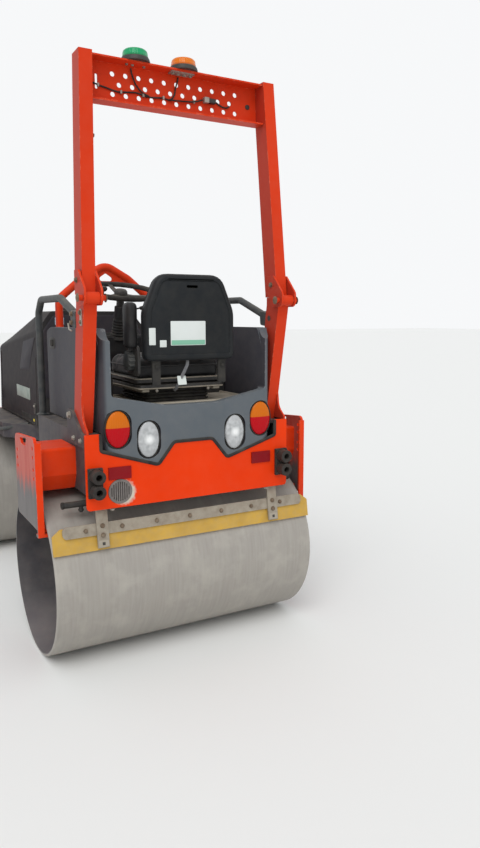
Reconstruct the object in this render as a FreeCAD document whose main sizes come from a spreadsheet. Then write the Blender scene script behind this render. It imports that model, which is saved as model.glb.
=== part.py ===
import FreeCAD, Part
import math
import os
import re
from types import SimpleNamespace

from FreeCAD import Placement, Rotation, Vector

# Compact articulated tandem roller, in millimetres.
# X points forward, Y to the driver's left, Z up, with the ground at Z = 0.
# Distances along X named "back" or "reach" are taken from a drum's axle.

SIZES = {
    # drums and their places
    "rear_axle_x": -847.25,
    "wheelbase": 1720,
    "drum_radius": 360,
    "drum_width": 1200,
    "drum_shell": 13,
    "drum_edge_chamfer": 5,
    "drum_disc_inset": 250,
    "drum_disc_wall": 15,
    "drum_hub_radius": 95,
    "drum_hub_length": 60,
    "axle_radius": 45,
    "axle_fit": 0.05,
    # frame height and rails
    "deck_low": 745,
    "rail_top": 985,
    "rail_out": 453,
    "rail_wall": 14,
    "rail_front": 360,
    "rail_rear": 338,
    "rail_ear_top": 1080,
    "rail_ear_low": 940,
    "rail_ear_wall": 10,
    "rail_ear_gap": 0.05,
    "rail_nose": 65,
    "floor_top": 760,
    "floor_sheet": 15,
    "floor_front": 735,
    "floor_half": 450,
    # bumper plate
    "bumper_back": 350,
    "bumper_half": 465,
    "bumper_low": 690,
    "bumper_top": 993,
    "bumper_notch_y": 406,
    "bumper_notch_z": 920,
    "bumper_dip_y": 171,
    "bumper_dip_z": 843,
    "bumper_crest_y": 95,
    "bumper_crest_z": 932,
    "trim_gap": 9,
    "reflector_inner": 280,
    "reflector_wide": 95,
    "reflector_low": 807,
    "reflector_tall": 50,
    "reflector_proud": 6,
    "alarm_y": 327,
    "alarm_z": 756,
    "alarm_radius": 50,
    "alarm_slot_pitch": 9,
    "alarm_slot_wide": 4,
    # drum yokes
    "yoke_reach": 34,
    "yoke_plate": 12,
    "yoke_top": 980,
    "yoke_back": 235,
    "yoke_near": -100,
    "yoke_side_low": 610,
    "yoke_top_near": 956,
    "yoke_foot_wide": 49,
    "yoke_foot_run": 30,
    "yoke_foot_wall": 12,
    "yoke_flange": 26,
    "yoke_flange_low": 580,
    "yoke_flange_top": 960,
    "yoke_flange_wall": 10,
    "yoke_web_inset": 195,
    "yoke_web_top": 640,
    "yoke_web_back": 185,
    "yoke_web_near": 25,
    "yoke_hub_radius": 90,
    "yoke_hub_wall": 28,
    "beam_top": 922,
    "beam_crease": 810,
    "beam_back": 180,
    "beam_under_back": 150,
    "beam_near": -40,
    # rear cover
    "cover_half": 390,
    "cover_wall": 38,
    "cover_front": 460,
    "cover_base": 990,
    "cover_rim": 1090,
    "cover_rim_side": 1135,
    "cover_top": 1400,
    "cover_corner": 60,
    "cover_top_back": 268,
    "cover_shoulder": 1190,
    # seat
    "seat_deck_top": 1040,
    "seat_deck_front": 130,
    "seat_deck_half": 350,
    "seat_half": 204,
    "seat_back_rear": 345,
    "seat_back_low": 1267,
    "seat_back_top": 1618,
    "seat_back_thick": 110,
    "seat_cushion_low": 1165,
    "seat_cushion_top": 1275,
    "seat_cushion_front": 215,
    # roll-over frame
    "rops_hinge_back": 385,
    "rops_hinge_z": 1516,
    "rops_hinge_y": 431,
    "rops_barrel_radius": 22.5,
    "rops_barrel_length": 56,
    "rops_pin_radius": 11,
    "rops_pin_fit": 0.05,
    "rops_ear_wall": 8,
    "rops_ear_gap": 0.5,
    "rops_post_wide": 52,
    "rops_post_deep": 98,
    "rops_post_gap": 1,
    "rops_low_back": 370,
    "rops_mid_back": 288,
    "rops_mid_z": 1083,
    "rops_foot_back": 262,
    "rops_up_back": 356,
    "rops_top_back": 294,
    "rops_top": 2421,
    "rops_top_out": 421,
    "rops_beam_tall": 169,
    "rops_beam_wall": 6,
    "rops_flange_drop": 8,
    "rops_web_in": 66,
    "rops_flange_in": 6,
    "rops_hole_radius": 9.5,
    "rops_hole_pitch": 54,
    "rops_hole_row": 37,
    "rops_ear_rise": 105,
    "rops_gusset_wall": 8,
    "rops_gusset_top": 1115,
    "beacon_radius": 58,
    "beacon_base": 22,
    "beacon_tall": 48,
    "beacon_ahead": 40,
    "beacon_green_y": 185,
    "beacon_amber_y": -20,
    # articulation
    "pivot_bore_radius": 30,
    "pivot_fit": 0.05,
    "pivot_z": 500,
    "pivot_lug_low": 385,
    "pivot_lug_top": 615,
    "pivot_lug_wall": 30,
    "pivot_lug_half": 80,
    "knuckle_gap": 6,
    "knuckle_half": 70,
    "knuckle_front": 75,
    "roll_pin_radius": 40,
    "roll_pin_inside": 55,
    "neck_half": 95,
    "neck_to_pivot": 165,
    "neck_rear_back": 400,
    "neck_low": 370,
    "front_neck_start": 110,
    "front_neck_half": 170,
    "front_neck_clear": 440,
    # steering cylinder
    "cylinder_y": 150,
    "cylinder_z": 500,
    "cylinder_anchor": 430,
    "cylinder_radius": 30,
    "rod_radius": 15,
    "cylinder_rod_out": 168,
    "cylinder_ram_share": 0.57,
    "cylinder_fit": 0.05,
    "cylinder_pin_radius": 10,
    "cylinder_eye_radius": 32,
    "cylinder_eye_wall": 32,
    # front frame and hood
    "front_deck_top": 830,
    "front_deck_rear": 150,
    "front_deck_rear_half": 245,
    "front_deck_wide_from": 440,
    "hood_rear": 90,
    "hood_gap": 6,
    "hood_front_reach": 330,
    "hood_half_low": 324,
    "hood_half_shoulder": 318,
    "hood_half_top": 235,
    "hood_shoulder_rear": 1374,
    "hood_top_rear": 1480,
    "hood_crest_run": 230,
    "hood_shoulder_front": 1257,
    "hood_top_front": 1318,
    "hood_wall": 6,
    "hood_nose_run": 75,
    "hood_nose_drop": 58,
    "grille_low": 900,
    "grille_top": 1140,
    "grille_half": 185,
    "grille_lap": 10,
    "grille_pitch": 22,
    "hood_hinge_reach": 345,
    "hood_hinge_z": 848,
    "hood_hinge_y": 150,
    "hood_lug_wide": 40,
    "hood_ear_wall": 12,
    "hood_ear_gap": 1,
    "hood_pin_radius": 5,
    "hood_pin_fit": 0.05,
    "engine_rear": 330,
    "engine_length": 560,
    "engine_half": 200,
    "engine_height": 400,
    # controls and rails
    "console_rear": 560,
    "console_front": 690,
    "console_half": 170,
    "console_top": 1330,
    "wheel_radius": 180,
    "wheel_rim_radius": 14,
    "wheel_tilt": 14,
    "wheel_x": 475,
    "wheel_z": 1575,
    "column_radius": 28,
    "hoop_x": 705,
    "hoop_half": 255,
    "hoop_bend_z": 1540,
    "hoop_peak_z": 1720,
    "hoop_radius": 20,
    "hoop_shoulder_run": 130,
    "hoop_shoulder_rise": 110,
    "hoop_gusset_rise": 82,
    "grab_radius": 16,
    "grab_y": 436,
    "grab_front": 400,
    "grab_top": 1525,
    "head_lamp_radius": 46,
    "head_lamp_y": 385,
    "head_lamp_z": 930,
    # scrapers and sprinkler
    "scraper_bar_inset": 40,
    "strap_y": 400,
    "strap_wide": 48,
    "strap_wall": 8,
    "blade_wall": 8,
    "scraper_top_back": 310,
    "scraper_top_z": 623,
    "blade_length": 104,
    "blade_corner_y": 33,
    "blade_corner_z": 25,
    "bar_depth": 48,
    "bar_corner": 20,
    "strap_drop": 94,
    "strap_rise": 110,
    "spray_radius": 13,
    "spray_inset": 60,
    "lash_bore_radius": 12.5,
    "lash_boss_radius": 27.5,
    "lash_boss_length": 45,
    "lash_boss_pitch": 60,
    "lash_y": 430,
    "lash_z": 802,
    "lash_plate_wide": 60,
    "lash_plate_tall": 120,
    "lash_plate_wall": 14,
}

# Sizes that follow from others
LINKED = {
    "yoke_out": "drum_width / 2 + yoke_reach",
    "yoke_foot_inner": "yoke_out - yoke_foot_wide",
    "yoke_web_inner": "drum_width / 2 - yoke_web_inset",
    "drum_disc_out": "drum_width / 2 - drum_disc_inset",
    "scraper_half": "drum_width / 2",
    "scraper_bar_half": "drum_width / 2 - scraper_bar_inset",
    "spray_half": "drum_width / 2 - spray_inset",
    "rops_beam_low": "rops_top - rops_beam_tall",
    "rail_ear_inner": "rops_hinge_y + rops_post_wide / 2 + rail_ear_gap",
    "neck_rear_front": "wheelbase / 2 - neck_to_pivot",
    "front_neck_end": "wheelbase / 2 - front_neck_clear",
    "roll_pin_reach": "front_neck_end - roll_pin_inside - knuckle_front",
    "cylinder_reach": "wheelbase / 2 - cylinder_anchor",
    "cylinder_barrel": "cylinder_reach - cylinder_rod_out",
    "cylinder_ram_start": "cylinder_barrel * cylinder_ram_share",
}
NAMES = list(SIZES) + list(LINKED)

doc = FreeCAD.newDocument("road_roller")
sheet = doc.addObject("Spreadsheet::Sheet", "Sizes")
for row, alias in enumerate(NAMES, start=1):
    sheet.set(f"A{row}", alias)
    sheet.setAlias(f"B{row}", alias)
    sheet.set(f"B{row}", str(SIZES[alias]) if alias in SIZES else "=" + LINKED[alias])
doc.recompute()

S = SimpleNamespace(**{alias: float(sheet.get(alias)) for alias in NAMES})
FRONT_AXLE_X = S.rear_axle_x + S.wheelbase
PIVOT_X = S.rear_axle_x + S.wheelbase / 2

WORD = re.compile(r"[A-Za-z_]\w*")


def bound(text):
    """The expression for a length given in the sheet's names."""
    return WORD.sub(lambda found: "Sizes." + found.group(0) if found.group(0) in NAMES else found.group(0), text)


def place(obj, at, rotation=None):
    """Put an object at three expressions, turned by a fixed rotation."""
    if rotation is not None:
        obj.Placement = Placement(Vector(), rotation)
    for letter, text in zip("xyz", at):
        obj.setExpression(f"Placement.Base.{letter}", bound(text))
    return obj


def box(name, low, high):
    """A box between two corners, each given by three expressions."""
    obj = doc.addObject("Part::Box", name)
    for prop, a, b in zip(("Length", "Width", "Height"), low, high):
        obj.setExpression(prop, bound(f"({b}) - ({a})"))
    return place(obj, low)


AIM = {
    "X": Rotation(Vector(0, 1, 0), 90),
    "Y": Rotation(Vector(1, 0, 0), -90),
    "Z": Rotation(),
}


def rod(name, radius, length, at, along="Z"):
    """A cylinder from a point along an axis."""
    obj = doc.addObject("Part::Cylinder", name)
    obj.setExpression("Radius", bound(radius))
    obj.setExpression("Height", bound(length))
    return place(obj, at, AIM[along])


def corner_arc(before, corner, after, radius):
    """Tangent points and the arc's middle for a rounded corner."""
    to_a = (before - corner).normalize()
    to_b = (after - corner).normalize()
    half = to_a.getAngle(to_b) / 2
    run = radius / math.tan(half)
    start = corner + to_a * run
    end = corner + to_b * run
    inward = (to_a + to_b).normalize()
    middle = corner + inward * (radius / math.sin(half) - radius)
    return start, middle, end


def rounded_edges(corners, closed=True):
    """Lines and arcs through corners (point, radius), as Part geometry."""
    count = len(corners)
    joints = []
    for i, (point, radius) in enumerate(corners):
        inside = closed or 0 < i < count - 1
        if radius and inside:
            joints.append(corner_arc(corners[i - 1][0], point, corners[(i + 1) % count][0], radius))
        else:
            joints.append((point, None, point))
    edges = []
    for i, (start, middle, end) in enumerate(joints):
        if middle is not None:
            edges.append(Part.Arc(start, middle, end))
        if i + 1 < count or closed:
            following = joints[(i + 1) % count][0]
            if (following - end).Length > 1e-6:
                edges.append(Part.LineSegment(end, following))
    return edges


def flat(points):
    """Corners for a sketch from (a, b) or (a, b, radius)."""
    return [(Vector(p[0], p[1], 0), p[2] if len(p) > 2 else 0) for p in points]


def mirrored_outline(half):
    """An outline from its right half (a, b, radius), mirrored about a = 0."""
    other = [(-p[0],) + tuple(p[1:]) for p in reversed(half) if abs(p[0]) > 1e-9]
    return list(half) + other


ROLE = {"side": "XZ_Plane", "cross": "YZ_Plane", "plan": "XY_Plane"}


def prism(name, plane, outlines, low, high):
    """A pad of closed outlines between two places along the plane's axis.

    side: outline in X, Z, pad along Y; cross: in Y, Z along X; plan: in X, Y along Z.
    An outline is a list of corners or a circle (centre a, centre b, radius).
    """
    body = doc.addObject("PartDesign::Body", name)
    sketch = body.newObject("Sketcher::SketchObject", name + "_outline")
    origin_plane = [f for f in body.Origin.OriginFeatures if f.Role == ROLE[plane]][0]
    sketch.AttachmentSupport = [(origin_plane, "")]
    sketch.MapMode = "FlatFace"
    start = f"-({high})" if plane == "side" else low
    sketch.setExpression("AttachmentOffset.Base.z", bound(start))
    for outline in outlines:
        if isinstance(outline, tuple):
            sketch.addGeometry(Part.Circle(Vector(outline[0], outline[1], 0), Vector(0, 0, 1), outline[2]))
        else:
            sketch.addGeometry(rounded_edges(flat(outline)))
    pad = body.newObject("PartDesign::Pad", name + "_pad")
    pad.Profile = sketch
    pad.setExpression("Length", bound(f"({high}) - ({low})"))
    return body


def turned(name, outline, at):
    """A body turned about an axis along Y, from an outline in Y and radius."""
    body = doc.addObject("PartDesign::Body", name)
    sketch = body.newObject("Sketcher::SketchObject", name + "_outline")
    origin_plane = [f for f in body.Origin.OriginFeatures if f.Role == "YZ_Plane"][0]
    sketch.AttachmentSupport = [(origin_plane, "")]
    sketch.MapMode = "FlatFace"
    sketch.addGeometry(rounded_edges(flat(outline)))
    revolution = body.newObject("PartDesign::Revolution", name + "_turn")
    revolution.Profile = sketch
    revolution.ReferenceAxis = (sketch, ["H_Axis"])
    revolution.Angle = 360
    return place(body, at)


def tube(name, points, radius, bend):
    """A round tube along straight runs with tangent bends."""
    corners = [(Vector(*p), bend) for p in points]
    spine = doc.addObject("Part::Feature", name + "_line")
    spine.Shape = Part.Wire([edge.toShape() for edge in rounded_edges(corners, closed=False)])
    ring = doc.addObject("Part::Circle", name + "_ring")
    ring.setExpression("Radius", bound(radius))
    run = corners[1][0] - corners[0][0]
    ring.Placement = Placement(corners[0][0], Rotation(Vector(0, 0, 1), run))
    sweep = doc.addObject("Part::Sweep", name)
    sweep.Sections = [ring]
    sweep.Spine = (spine, [f"Edge{i + 1}" for i in range(len(spine.Shape.Edges))])
    sweep.Solid = True
    sweep.Transition = "Right corner"
    return sweep


def loft(name, sections):
    """A ruled solid through closed sections, each a list of (point, radius)."""
    wires = []
    for i, section in enumerate(sections):
        wire = doc.addObject("Part::Feature", f"{name}_section_{i + 1}")
        wire.Shape = Part.Wire([edge.toShape() for edge in rounded_edges(section)])
        wires.append(wire)
    solid = doc.addObject("Part::Loft", name)
    solid.Sections = wires
    solid.Solid = True
    solid.Ruled = True
    return solid


def fuse(name, *parts):
    joined = doc.addObject("Part::MultiFuse", name)
    joined.Shapes = list(parts)
    joined.Refine = True
    return joined


def cut(name, base, *tools):
    tool = tools[0] if len(tools) == 1 else fuse(name + "_tools", *tools)
    result = doc.addObject("Part::Cut", name)
    result.Base = base
    result.Tool = tool
    result.Refine = True
    return result


def common(name, base, tool):
    result = doc.addObject("Part::Common", name)
    result.Base = base
    result.Tool = tool
    return result


def mirror(name, source, normal=(0, 1, 0), base=(0, 0, 0)):
    copy = doc.addObject("Part::Mirroring", name)
    copy.Source = source
    copy.Normal = Vector(*normal)
    copy.Base = Vector(*base)
    return copy


def together(name, *parts):
    """Touching pieces kept as separate solids of one node."""
    group = doc.addObject("Part::Compound", name)
    group.Links = list(parts)
    return group


def both_sides(name, source):
    """A piece and its mirror image about the machine's middle, as one node."""
    return together(name, source, mirror(name + "_right", source))


NODES = {}


def node(name, obj):
    """Register a finished sub-part under its plain name."""
    obj.Label = name
    NODES[name] = obj
    return obj


def rx(back):
    """X of a place given as its distance behind the rear axle."""
    return S.rear_axle_x - back


def to_front(name, source):
    """The front frame's copy of a rear piece, mirrored about the pivot."""
    return mirror(name, source, (1, 0, 0), (PIVOT_X, 0, 0))


# Drums

def drum_outline():
    half = S.drum_width / 2
    inner = S.drum_radius - S.drum_shell
    disc_in = S.drum_disc_out - S.drum_disc_wall
    hub_in = S.drum_disc_out - S.drum_hub_length
    hub_out = S.drum_disc_out + S.drum_disc_wall
    bore = S.axle_radius + S.axle_fit
    edge = S.drum_edge_chamfer
    right = [
        (half, S.drum_radius - edge), (half, inner), (S.drum_disc_out, inner),
        (S.drum_disc_out, S.drum_hub_radius), (hub_out, S.drum_hub_radius), (hub_out, bore),
        (hub_in, bore), (hub_in, S.drum_hub_radius), (disc_in, S.drum_hub_radius), (disc_in, inner),
    ]
    left = [(-a, b) for a, b in reversed(right)]
    return [(half - edge, S.drum_radius)] + right + left + [(-half + edge, S.drum_radius)]


node("drum_rear", turned("drum_rear", drum_outline(), ("rear_axle_x", "0", "drum_radius")))
node("drum_front", turned("drum_front", drum_outline(), ("rear_axle_x + wheelbase", "0", "drum_radius")))


# Drum yokes

# distance behind the axle, levels of the holes
YOKE_HOLES = [
    (-65, (890, 855, 820)),
    (209, (936, 900, 850, 815)),
]


def yoke_plate_outline():
    holes = [(rx(back), z, 8) for back, levels in YOKE_HOLES for z in levels]
    window = [(rx(112), 963, 6), (rx(-8), 950, 6), (rx(8), 928, 6), (rx(92), 928, 6)]
    edge = [
        (rx(S.yoke_near), S.yoke_top_near, 30), (rx(S.yoke_back), S.yoke_top, 22),
        (rx(S.yoke_back), S.yoke_side_low), (rx(S.yoke_near), S.yoke_side_low, 25),
    ]
    return [edge, window] + holes


def rear_yoke():
    """One side of the rear drum's yoke: beam, side plate, flange, web and hub."""
    inner_face = "yoke_out - yoke_plate"
    plate = prism("yoke_plate_left", "side", yoke_plate_outline(), inner_face, "yoke_out")
    beam_outline = [
        (rx(S.beam_near), S.beam_top, 12), (rx(S.beam_back), S.beam_top, 12),
        (rx(S.beam_back), S.beam_crease, 12), (rx(S.beam_under_back), S.deck_low, 8),
        (rx(S.beam_near), S.deck_low, 8),
    ]
    beam = prism("yoke_beam_left", "side", [beam_outline], "rail_out", inner_face)
    flange = box(
        "yoke_flange_left",
        ("rear_axle_x - yoke_back - yoke_flange_wall", "yoke_out - yoke_flange", "yoke_flange_low"),
        ("rear_axle_x - yoke_back", "yoke_out", "yoke_flange_top"))
    foot = box(
        "yoke_foot_left",
        ("rear_axle_x - yoke_back - yoke_flange_wall", "yoke_foot_inner", "yoke_flange_low"),
        ("rear_axle_x - yoke_back - yoke_flange_wall + yoke_foot_run", "yoke_out",
         "yoke_flange_low + yoke_foot_wall"))
    web_in = S.yoke_web_inner
    face = S.yoke_out - S.yoke_plate
    top = S.yoke_web_top
    web_outline = [
        (face, top), (face, top - 40), (web_in + 90, 470, 40), (web_in, 330),
        (web_in, 440), (web_in + 60, 540, 30), (face - 60, top, 30),
    ]
    web = prism("yoke_web_left", "cross", [web_outline], "rear_axle_x - yoke_web_back",
                "rear_axle_x - yoke_web_near")
    boss = rod("yoke_boss_left", "yoke_hub_radius", "yoke_hub_wall",
               ("rear_axle_x", "yoke_web_inner - 20", "drum_radius"), "Y")
    stub = rod("yoke_stub_left", "axle_radius", "drum_hub_length + drum_disc_wall + 40",
               ("rear_axle_x", "drum_disc_out - drum_hub_length", "drum_radius"), "Y")
    return fuse("rear_yoke_left", plate, beam, flange, foot, web, boss, stub)


yoke_left = node("rear_yoke_left", rear_yoke())
yoke_right = node("rear_yoke_right", mirror("rear_yoke_right", yoke_left))
node("front_yoke_left", to_front("front_yoke_left", yoke_left))
node("front_yoke_right", to_front("front_yoke_right", yoke_right))


# Rear frame

def rear_frame():
    """Dark frame: two side rails, cross members, neck and pivot lugs."""
    top = S.rail_top
    rail_outline = [
        (rx(S.rail_rear), S.deck_low), (rx(-S.rail_front), S.deck_low), (rx(-S.rail_front), top),
        (rx(S.rail_rear), top),
    ]
    rail = prism("frame_rail_side", "side", [rail_outline], "rail_out - rail_wall", "rail_out")
    low = S.rail_ear_low
    ear_outline = [
        (rx(S.rail_rear), low), (rx(115), low, 20), (rx(120), top + 40, 20), (rx(135), S.rail_ear_top, 18),
        (rx(200), S.rail_ear_top - 8, 20), (rx(300), top + 15, 20), (rx(S.rail_rear), top + 5),
    ]
    plate = prism("frame_ear_plate", "side", [ear_outline, (rx(165), top + 68, 9)], "rail_ear_inner",
                  "rail_ear_inner + rail_ear_wall")
    packer = box("frame_ear_packer", ("rear_axle_x - rail_rear", "rail_out", "rail_ear_low"),
                 ("rear_axle_x - 130", "rail_ear_inner", "rail_top"))
    ear = fuse("frame_rail_ear", plate, packer)
    nose = box("frame_rail_nose", ("rear_axle_x + rail_front", "rail_out - rail_wall", "floor_top + 1"),
               ("rear_axle_x + rail_front + rail_nose", "rail_out", "rail_top"))
    rail = fuse("frame_rail_left", rail, ear, nose)
    ledge = box("frame_ledge_left", ("rear_axle_x - bumper_back + cover_wall", "cover_half - cover_wall",
                                     "rail_top - 12"),
                ("rear_axle_x + rail_front", "rail_out - rail_wall", "rail_top"))
    rail_right = mirror("frame_rail_right", rail)
    ledge_right = mirror("frame_ledge_right", ledge)
    tank = box("frame_tank", ("rear_axle_x - rail_rear", "-(rail_out - rail_wall)", "deck_low"),
               ("rear_axle_x + rail_front", "rail_out - rail_wall", "bumper_dip_z - 3"))
    bulkhead = box("frame_bulkhead", ("rear_axle_x + rail_front + 10", "-rail_out + 60", "neck_low + 60"),
                   ("rear_axle_x + neck_rear_back", "rail_out - 60", "floor_top - floor_sheet"))
    shelf = box("frame_shelf", ("rear_axle_x + rail_front - 60", "-rail_out + 60", "deck_low - 35"),
                ("rear_axle_x + rail_front + 12", "rail_out - 60", "deck_low"))
    neck = box("frame_neck", ("rear_axle_x + neck_rear_back", "-neck_half", "neck_low"),
               ("rear_axle_x + neck_rear_front", "neck_half", "floor_top - floor_sheet"))
    pivot = "rear_axle_x + wheelbase / 2"
    lugs = []
    for label, low in (("upper", "pivot_lug_top"), ("lower", "pivot_lug_low - pivot_lug_wall")):
        outline = [
            (PIVOT_X - 170, -S.pivot_lug_half), (PIVOT_X, -S.pivot_lug_half),
            (PIVOT_X + 80, -S.pivot_lug_half, 78), (PIVOT_X + 80, S.pivot_lug_half, 78),
            (PIVOT_X - 170, S.pivot_lug_half),
        ]
        lug = prism(f"frame_lug_{label}", "plan", [outline], low, low + " + pivot_lug_wall")
        lugs.append(lug)
    pin = rod("frame_pivot_pin", "pivot_bore_radius", "pivot_lug_top - pivot_lug_low + 2 * pivot_lug_wall + 20",
              (pivot, "0", "pivot_lug_low - pivot_lug_wall - 10"), "Z")
    anchor_low = box("frame_anchor_low", ("rear_axle_x + neck_rear_back", "cylinder_y - 30",
                                          "cylinder_z - cylinder_eye_wall / 2 - 20"),
                     ("rear_axle_x + cylinder_anchor + 12", "cylinder_y + 30",
                      "cylinder_z - cylinder_eye_wall / 2 - 5"))
    anchor_top = box("frame_anchor_top", ("rear_axle_x + neck_rear_back", "cylinder_y - 30",
                                          "cylinder_z + cylinder_eye_wall / 2 + 5"),
                     ("rear_axle_x + cylinder_anchor + 12", "cylinder_y + 30",
                      "cylinder_z + cylinder_eye_wall / 2 + 20"))
    anchor_pin = rod("frame_anchor_pin", "cylinder_pin_radius", "cylinder_eye_wall + 50",
                     ("rear_axle_x + cylinder_anchor", "cylinder_y", "cylinder_z - cylinder_eye_wall / 2 - 25"))
    return fuse("rear_frame", rail, rail_right, ledge, ledge_right, tank, bulkhead, shelf, neck,
                *lugs, pin, anchor_low, anchor_top, anchor_pin)


node("rear_frame", rear_frame())


# Bumper plate

def bumper_top_edge(lift=0):
    """The plate's upper edge from the middle outwards, lifted by the trim."""
    return [
        (0, S.bumper_crest_z + lift), (S.bumper_crest_y, S.bumper_crest_z + lift, 25),
        (S.bumper_dip_y - 12, S.bumper_dip_z + lift, 20), (S.bumper_notch_y, S.bumper_notch_z + lift, 12),
    ]


def bumper_outline():
    half = bumper_top_edge() + [
        (S.bumper_notch_y, S.bumper_top), (S.bumper_half, S.bumper_top, 6), (S.bumper_half, S.bumper_low, 14),
    ]
    alarm = (S.alarm_y, S.alarm_z, S.alarm_radius)
    return [mirrored_outline(half), alarm]


node("rear_bumper", prism("rear_bumper", "cross", bumper_outline(),
                          "rear_axle_x - bumper_back", "rear_axle_x - rail_rear"))


# Rear cover: a U-shaped moulded tub round the seat

def rear_cover():
    back = rx(S.bumper_back)
    front = rx(-S.cover_front)
    half = S.cover_half
    wall = S.cover_wall
    radius = S.cover_corner
    plan = [
        (back, -half, radius), (front, -half, wall / 2.2), (front, -half + wall, wall / 2.2),
        (back + wall, -half + wall, radius - 25), (back + wall, half - wall, radius - 25),
        (front, half - wall, wall / 2.2), (front, half, wall / 2.2), (back, half, radius),
    ]
    shell = prism("cover_shell", "plan", [plan], "bumper_dip_z", "cover_top")
    side = [
        (back - 10, S.cover_top + 10), (back - 10, S.cover_shoulder), (back, S.cover_shoulder - 40, 60),
        (rx(S.cover_top_back + 40), S.cover_top - 60, 120), (rx(S.cover_top_back), S.cover_top + 10),
    ]
    slope = prism("cover_slope", "side", [side], "-cover_half - 10", "cover_half + 10")
    nose = [
        (rx(-S.cover_front + 90), S.cover_top + 10), (rx(-S.cover_front + 90), S.cover_top),
        (front - 10, S.cover_top - 20, 40), (front, S.cover_top - 110, 60),
        (front + 10, S.cover_base), (front + 10, S.cover_top + 10),
    ]
    front_cut = prism("cover_front_cut", "side", [nose], "-cover_half - 10", "cover_half + 10")
    rim = mirrored_outline([
        (0, S.cover_rim), (120, S.cover_rim, 200), (S.cover_half - wall, S.cover_rim_side, 16),
        (S.cover_half - wall, S.cover_top + 10),
    ])
    mouth = prism("cover_mouth", "cross", [rim], "rear_axle_x - bumper_back - 10", "rear_axle_x - 200")
    below = box("cover_below", ("rear_axle_x - bumper_back + cover_wall", "-cover_half - 10", "bumper_dip_z - 10"),
                ("rear_axle_x + cover_front + 10", "cover_half + 10", "cover_base"))
    lower = mirrored_outline(bumper_top_edge(S.trim_gap) + [
        (S.bumper_notch_y + 20, S.bumper_notch_z + S.trim_gap + 4), (S.bumper_notch_y + 20, S.bumper_dip_z - 20)])
    under = prism("cover_under", "cross", [lower], "rear_axle_x - bumper_back - 10",
                  "rear_axle_x - bumper_back + cover_wall + 10")
    recesses = lamp_recesses()
    return cut("rear_cover", shell, slope, front_cut, mouth, below, under, *recesses)


# name, y, z, half width, half height
LAMPS = [
    ("tail", 328, 1005, 49, 72),
    ("white", 199, 955, 45, 72),
]


def oval(y, z, half_wide, half_tall, grow=0):
    wide = half_wide + grow
    tall = half_tall + grow
    return [
        (y - wide, z - tall, wide * 0.98), (y + wide, z - tall, wide * 0.98),
        (y + wide, z + tall, wide * 0.98), (y - wide, z + tall, wide * 0.98),
    ]


def lamp_recesses():
    cuts = []
    for label, y, z, wide, tall in LAMPS:
        for side in (1, -1):
            cuts.append(prism(f"recess_{label}_{side + 1}", "cross", [oval(side * y, z, wide, tall, 7)],
                              "rear_axle_x - bumper_back - 5", "rear_axle_x - bumper_back + 18"))
    return cuts


node("rear_cover", rear_cover())


def lamps(label, y, z, wide, tall):
    left = prism(f"{label}_lens_left", "cross", [oval(y, z, wide, tall)],
                 "rear_axle_x - bumper_back + 4", "rear_axle_x - bumper_back + 18")
    return both_sides(label + "_lamps", left)


for label, y, z, wide, tall in LAMPS:
    node(label + "_lamps", lamps(label, y, z, wide, tall))

reflector = box("reflector_left",
                ("rear_axle_x - bumper_back - reflector_proud", "reflector_inner", "reflector_low"),
                ("rear_axle_x - bumper_back", "reflector_inner + reflector_wide",
                 "reflector_low + reflector_tall"))
node("rear_reflectors", both_sides("rear_reflectors", reflector))


def reverse_alarm():
    """Round slotted sounder let into the bumper plate."""
    slots = []
    for i in range(-4, 5):
        half = math.sqrt((S.alarm_radius - 10) ** 2 - (i * S.alarm_slot_pitch) ** 2)
        low = S.alarm_y + i * S.alarm_slot_pitch - S.alarm_slot_wide / 2
        high = low + S.alarm_slot_wide
        slots.append([(low, S.alarm_z - half), (high, S.alarm_z - half), (high, S.alarm_z + half),
                      (low, S.alarm_z + half)])
    face = prism("alarm_face", "cross", [(S.alarm_y, S.alarm_z, S.alarm_radius - 0.3)] + slots,
                 "rear_axle_x - bumper_back - 2", "rear_axle_x - bumper_back + 6")
    horn = rod("alarm_horn", "alarm_radius - 0.3", "bumper_back - rail_rear - 6",
               ("rear_axle_x - bumper_back + 6", "alarm_y", "alarm_z"), "X")
    return fuse("reverse_alarm", face, horn)


node("reverse_alarm", reverse_alarm())


def lashing_brackets():
    """Two thick eyes seated on a plate at each end of the bumper, bored along X."""
    plate = box("lash_plate_left",
                ("rear_axle_x - bumper_back - lash_plate_wall", "lash_y - lash_plate_wide / 2",
                 "lash_z - lash_plate_tall / 2"),
                ("rear_axle_x - bumper_back", "lash_y + lash_plate_wide / 2", "lash_z + lash_plate_tall / 2"))
    eyes = []
    for label, sign in (("low", -1), ("high", 1)):
        at = ("rear_axle_x - bumper_back - lash_plate_wall - lash_boss_length", "lash_y",
              f"lash_z + {sign} * lash_boss_pitch / 2")
        ring = rod(f"lash_ring_{label}", "lash_boss_radius", "lash_boss_length", at, "X")
        hole = rod(f"lash_hole_{label}", "lash_bore_radius", "lash_boss_length", at, "X")
        eyes.append(cut(f"lash_eye_{label}", ring, hole))
    left = together("lashing_left", plate, *eyes)
    return both_sides("lashing_brackets_rear", left)


lashing_rear = node("lashing_brackets_rear", lashing_brackets())
node("lashing_brackets_front", to_front("lashing_brackets_front", lashing_rear))


# Scrapers

def scraper_point(along, out, tilt=9.3):
    """X and Z of a point on the leaning scraper: along it downwards, out to the rear."""
    lean = math.radians(tilt)
    x = rx(S.scraper_top_back) - along * math.sin(lean) - out * math.cos(lean)
    z = S.scraper_top_z - along * math.cos(lean) + out * math.sin(lean)
    return (x, z)


def scraper_strip(name, along, out, low, high):
    """A leaning strip between two distances down the scraper and two out from it."""
    corners = [
        scraper_point(along[0], out[0]), scraper_point(along[0], out[1]),
        scraper_point(along[1], out[1]), scraper_point(along[1], out[0]),
    ]
    return prism(name, "side", [corners], low, high)


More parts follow.
